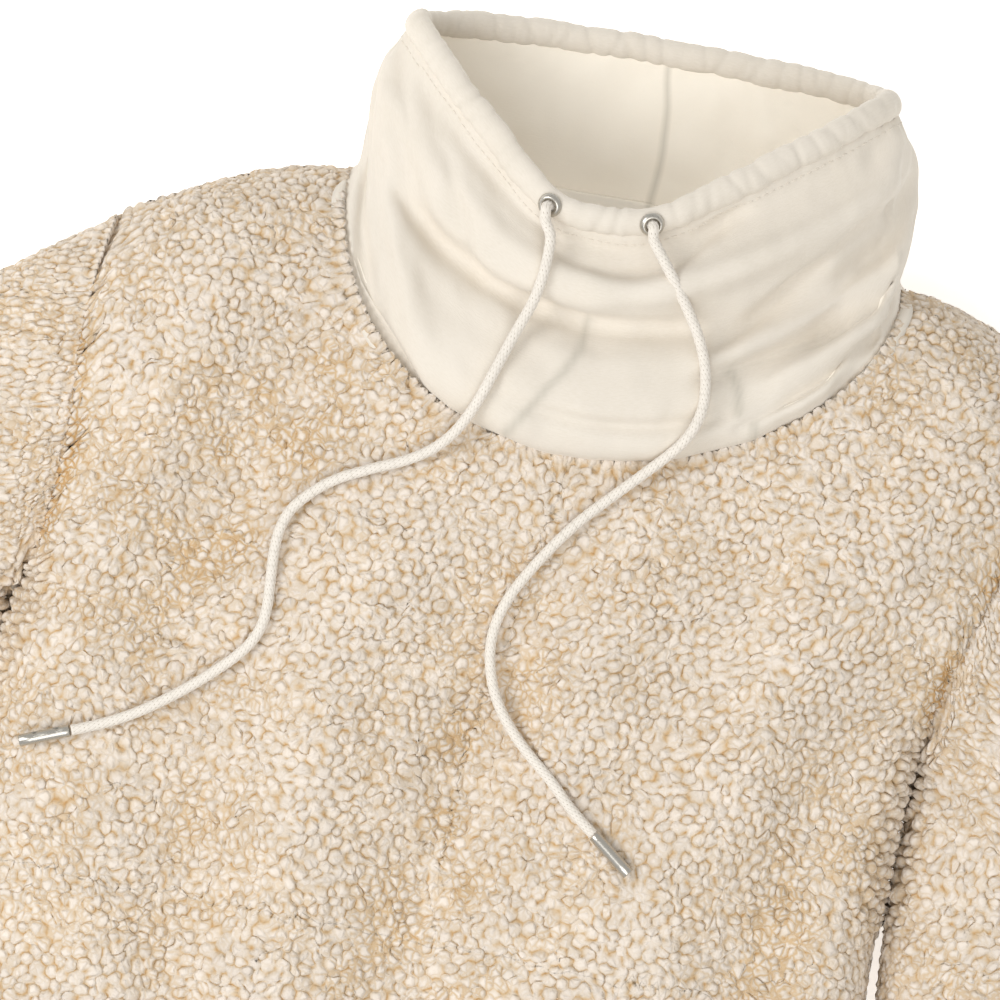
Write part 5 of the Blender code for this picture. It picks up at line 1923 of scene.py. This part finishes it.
def turned(name: str, profile: Sequence[tuple[float, float]], segments: int) -> Piece:
    """A round metal piece, drawn out from a circle in edit mode until its last ring meets its first.

    Args:
        name: Name of the piece.
        profile: Radius and height of each ring in millimetres.
        segments: Points in a ring.

    Returns:
        The piece at the origin, standing on Z.
    """
    radius, height = profile[0]
    bpy.ops.object.select_all(action="DESELECT")
    bpy.ops.mesh.primitive_circle_add(vertices=segments, radius=radius * MM, location=(0.0, 0.0, 0.0))
    obj = bpy.context.active_object
    obj.name = name
    bpy.ops.object.mode_set(mode="EDIT")
    bpy.ops.mesh.select_all(action="SELECT")
    bpy.ops.transform.translate(value=(0.0, 0.0, height * MM))
    for next_radius, next_height in (*profile[1:], profile[0]):
        bpy.ops.mesh.extrude_region_move(
            TRANSFORM_OT_translate={"value": (0.0, 0.0, (next_height - height) * MM)})
        share = next_radius / radius
        bpy.ops.transform.resize(value=(share, share, 1.0), center_override=(0.0, 0.0, next_height * MM))
        radius, height = next_radius, next_height
    bpy.ops.mesh.select_all(action="SELECT")
    bpy.ops.mesh.remove_doubles(threshold=0.00001)
    bpy.ops.mesh.normals_make_consistent(inside=False)
    bpy.ops.object.mode_set(mode="OBJECT")
    obj.data.shade_smooth()
    return obj


def pressed(obj: Piece, turn: float, half_turn: float, span: tuple[float, float],
            depth: float) -> None:
    """Press part of a round piece's wall towards its axis in edit mode.

    Args:
        obj: The piece, standing on Z at the origin.
        turn: Middle of the part, as an angle from X.
        half_turn: Half of the part's angle.
        span: Lowest and highest place along Z in millimetres.
        depth: How far it goes in, in millimetres.
    """
    margin = 0.1
    outer_skin = 0.9 * max(v.co.xy.length for v in obj.data.vertices)
    for vertex in obj.data.vertices:
        away = (math.atan2(vertex.co.y, vertex.co.x) - turn + math.pi) % math.tau - math.pi
        in_span = span[0] - margin < vertex.co.z / MM < span[1] + margin
        vertex.select = vertex.co.xy.length > outer_skin and abs(away) < half_turn and in_span
    for part in (obj.data.edges, obj.data.polygons):
        for item in part:
            item.select = False
    bpy.ops.object.select_all(action="DESELECT")
    bpy.context.view_layer.objects.active = obj
    obj.select_set(True)
    bpy.ops.object.mode_set(mode="EDIT")
    bpy.ops.mesh.select_mode(type="VERT")
    bpy.ops.transform.translate(value=(-math.cos(turn) * depth * MM, -math.sin(turn) * depth * MM, 0.0))
    bpy.ops.object.mode_set(mode="OBJECT")


def stand(obj: Piece, base: Vector, axis: Vector, up: str = "Y") -> None:
    """Move a piece's mesh so that its Z runs along an axis from a base in drawing millimetres."""
    matrix = axis.to_track_quat("Z", up).to_matrix().to_4x4()
    matrix.translation = Vector(placed(base))
    obj.data.transform(matrix)


@dataclass
class Eyelet:
    """A nickel eyelet in the casing."""

    side: Side
    seat: Vector
    axis: Vector
    material: Material

    def build(self) -> None:
        """Make the eyelet."""
        hole = FITTING.eyelet_hole
        outer = FITTING.eyelet_outer
        high = FITTING.eyelet_high
        profile = ([(hole + out, high * share) for out, share in EYELET_INNER]
                   + [(outer - back, high * share) for back, share in EYELET_OUTER])
        name = "eyelet_" + self.side.word
        obj = turned(name + "_nickel", profile, 56)
        stand(obj, self.seat, self.axis)
        obj.data.materials.append(self.material)
        declared(obj, "nickel", name)
        log.info("%s: made", name)


@dataclass
class Cord:
    """One free end of the drawcord with its metal tip."""

    side: Side
    points: list[Vector]
    tree: BVHTree
    cord_material: Material
    metal: Material

    def tip(self) -> Piece:
        """The metal end, a round sleeve past the cord's end."""
        run = self.points[-1] - self.points[-2]
        run.z = 0.0
        run.normalize()
        start = self.points[-1].copy()
        slope = -0.5
        for k in range(1, 9):
            reach = FITTING.tip_length * k / 8.0
            spot = start + run * reach
            high = draped(self.tree, spot.x, spot.y, FITTING.tip_radius)
            slope = max(slope, (high - start.z) / reach)
        direction = Vector((run.x, run.y, slope)).normalized()
        turn = direction.angle(self.points[-1] - self.points[-2])
        begin = start + direction * (FITTING.touch_gap + FITTING.tip_radius * math.tan(turn))
        radius = FITTING.tip_radius
        length = FITTING.tip_length
        inner = radius - FITTING.tip_wall
        bevel = FITTING.tip_bevel
        edge = FITTING.tip_edge
        lip = FITTING.tip_lip
        wall = [(radius, length * share) for share in FITTING.tip_rings]
        profile = ((inner, FITTING.tip_start), (inner, lip), (inner + bevel, 0.0), (radius - bevel, 0.0),
                   (radius, edge), *wall, (radius, length - edge), (radius - bevel, length),
                   (inner + bevel, length), (inner, length - lip), (inner, length - FITTING.tip_hollow))
        name = "cord_tip_" + self.side.word
        obj = turned(name + "_nickel", profile, 48)
        if self.side is Side.LEFT:
            for share in FITTING.crimps:
                pressed(obj, FITTING.crimp_turn, FITTING.crimp_half_turn, (length * share, length * share),
                        FITTING.crimp_depth)
        else:
            pressed(obj, FITTING.seam_turn, FITTING.seam_half_turn, (0.0, length), FITTING.tip_seam)
        stand(obj, begin, direction)
        obj.data.materials.append(self.metal)
        declared(obj, "nickel", name)
        return obj

    def build(self) -> None:
        """Make the braided cord and its tip."""
        name = "cord_" + self.side.word
        line = np.array(smooth_route(self.points, FITTING.braid_step))
        run = unit(np.gradient(line, axis=0))
        side = unit(np.cross(run, (0.0, 0.0, 1.0)))
        over = np.cross(side, run)
        length = distances(line)
        sides = FITTING.braid_sides
        a = math.tau * np.arange(sides)[None, :] / sides
        s = length[:, None] * (math.pi / FITTING.braid_pitch)
        left = np.cos(FITTING.braid_strands * a + s)
        right = np.cos(FITTING.braid_strands * a - s)
        braid = np.sqrt(np.abs(left * right))
        radius = FITTING.cord / 2.0 * (FITTING.braid_valley + FITTING.braid_rise * braid)
        points = (line[:, None, :] + side[:, None, :] * (np.cos(a) * radius)[..., None]
                  + over[:, None, :] * (np.sin(a) * radius)[..., None])
        # The braid's relief also sets its painted shade
        obj = mesh_object(name + "_braid", placed(points.reshape(-1, 3)), tube_faces(len(line), sides),
                          self.cord_material, {"braid": braid.ravel()})
        facing_out(obj)
        declared(obj, "braided_cord", name)
        tip = self.tip()
        log.info("%s: %.0f mm", name, length[-1])


# Studio


@dataclass(frozen=True)
class Studio:
    """Camera, floor and soft light."""

    camera_xy: tuple[float, float] = (0.0032, 0.1233)
    camera_z: float = 2.06
    turn: float = VIEW_TURN
    lens: float = 160.0
    sensor: float = 36.0
    floor: str = "#fbfaf8"
    floor_size: float = 9.0
    floor_drop: float = 0.0002
    floor_glow: float = 0.5
    air: str = "#fffefb"
    air_strength: float = 0.6
    lamps: tuple[tuple, ...] = (("key", (-1.3, 0.15, 1.4), 0.9, 13.5),
                                ("fill", (0.15, -0.75, 1.8), 1.2, 14.0))
    aim: tuple[float, float, float] = (0.0, 0.12, 0.0)

    def build(self) -> None:
        """Set the studio up."""
        scene = bpy.context.scene
        camera = bpy.data.objects.new("camera", bpy.data.cameras.new("camera"))
        camera.data.lens = self.lens
        camera.data.sensor_width = self.sensor
        camera.location = (*self.camera_xy, self.camera_z)
        camera.rotation_euler = (0.0, 0.0, self.turn)
        scene.collection.objects.link(camera)
        scene.camera = camera
        bpy.ops.mesh.primitive_plane_add(size=self.floor_size, location=(0.0, 0.0, -self.floor_drop))
        floor = bpy.context.active_object
        floor.name = "floor"
        paper = {"Base Color": linear(self.floor), "Roughness": 0.9,
                 "Emission Color": (1.0, 1.0, 1.0, 1.0), "Emission Strength": self.floor_glow}
        floor.data.materials.append(new_material("floor_paper", paper)[0])
        world = bpy.data.worlds.new("studio")
        world.use_nodes = True
        background = world.node_tree.nodes["Background"]
        background.inputs["Color"].default_value = linear(self.air)
        background.inputs["Strength"].default_value = self.air_strength
        scene.world = world
        for row in self.lamps:
            self.lamp(*row)
        scene.view_settings.view_transform = "Standard"
        scene.view_settings.look = "None"

    def lamp(self, name: str, place: tuple[float, float, float], size: float, power: float) -> None:
        """A square soft light that faces the garment."""
        data = bpy.data.lights.new(name, "AREA")
        data.shape = "SQUARE"
        data.size = size
        data.energy = power
        obj = bpy.data.objects.new(name, data)
        obj.location = place
        obj.rotation_euler = (Vector(self.aim) - Vector(place)).to_track_quat("-Z", "Y").to_euler()
        bpy.context.scene.collection.objects.link(obj)


@dataclass
class Pullover:
    """The whole garment."""

    def build(self) -> None:
        """Make every piece."""
        metal = metal_material(MetalFinish())
        braid = cord_material(CordFinish())
        knit = knit_material("ivory_knit", KnitFinish())
        fleece = fleece_material(FleeceFinish())
        casing_tree = surface_tree(["drawcord_casing"])
        seats = {side: eyelet_seat(casing_tree, place)
                 for side, place in zip(Side, FITTING.eyelet_places)}
        rest = surface_tree(["front", "collar", "drawcord_casing", "eyelet_left", "eyelet_right"])
        for side, (seat, axis) in seats.items():
            Eyelet(side, seat, axis, metal).build()
            Cord(side, cord_points(rest, seat, axis, CORD_ROUTES[side]), rest, braid, metal).build()
        collar = Collar(knit)
        collar.collar()
        collar.casing([seat for seat, _ in seats.values()])
        panels = Panels(fleece)
        panels.back()
        for side in Side:
            Sleeve(side, fleece).build()
        panels.front()


def main() -> None:
    """Build the garment and its studio."""
    Studio().build()
    Pullover().build()


if __name__ == "__main__":
    main()
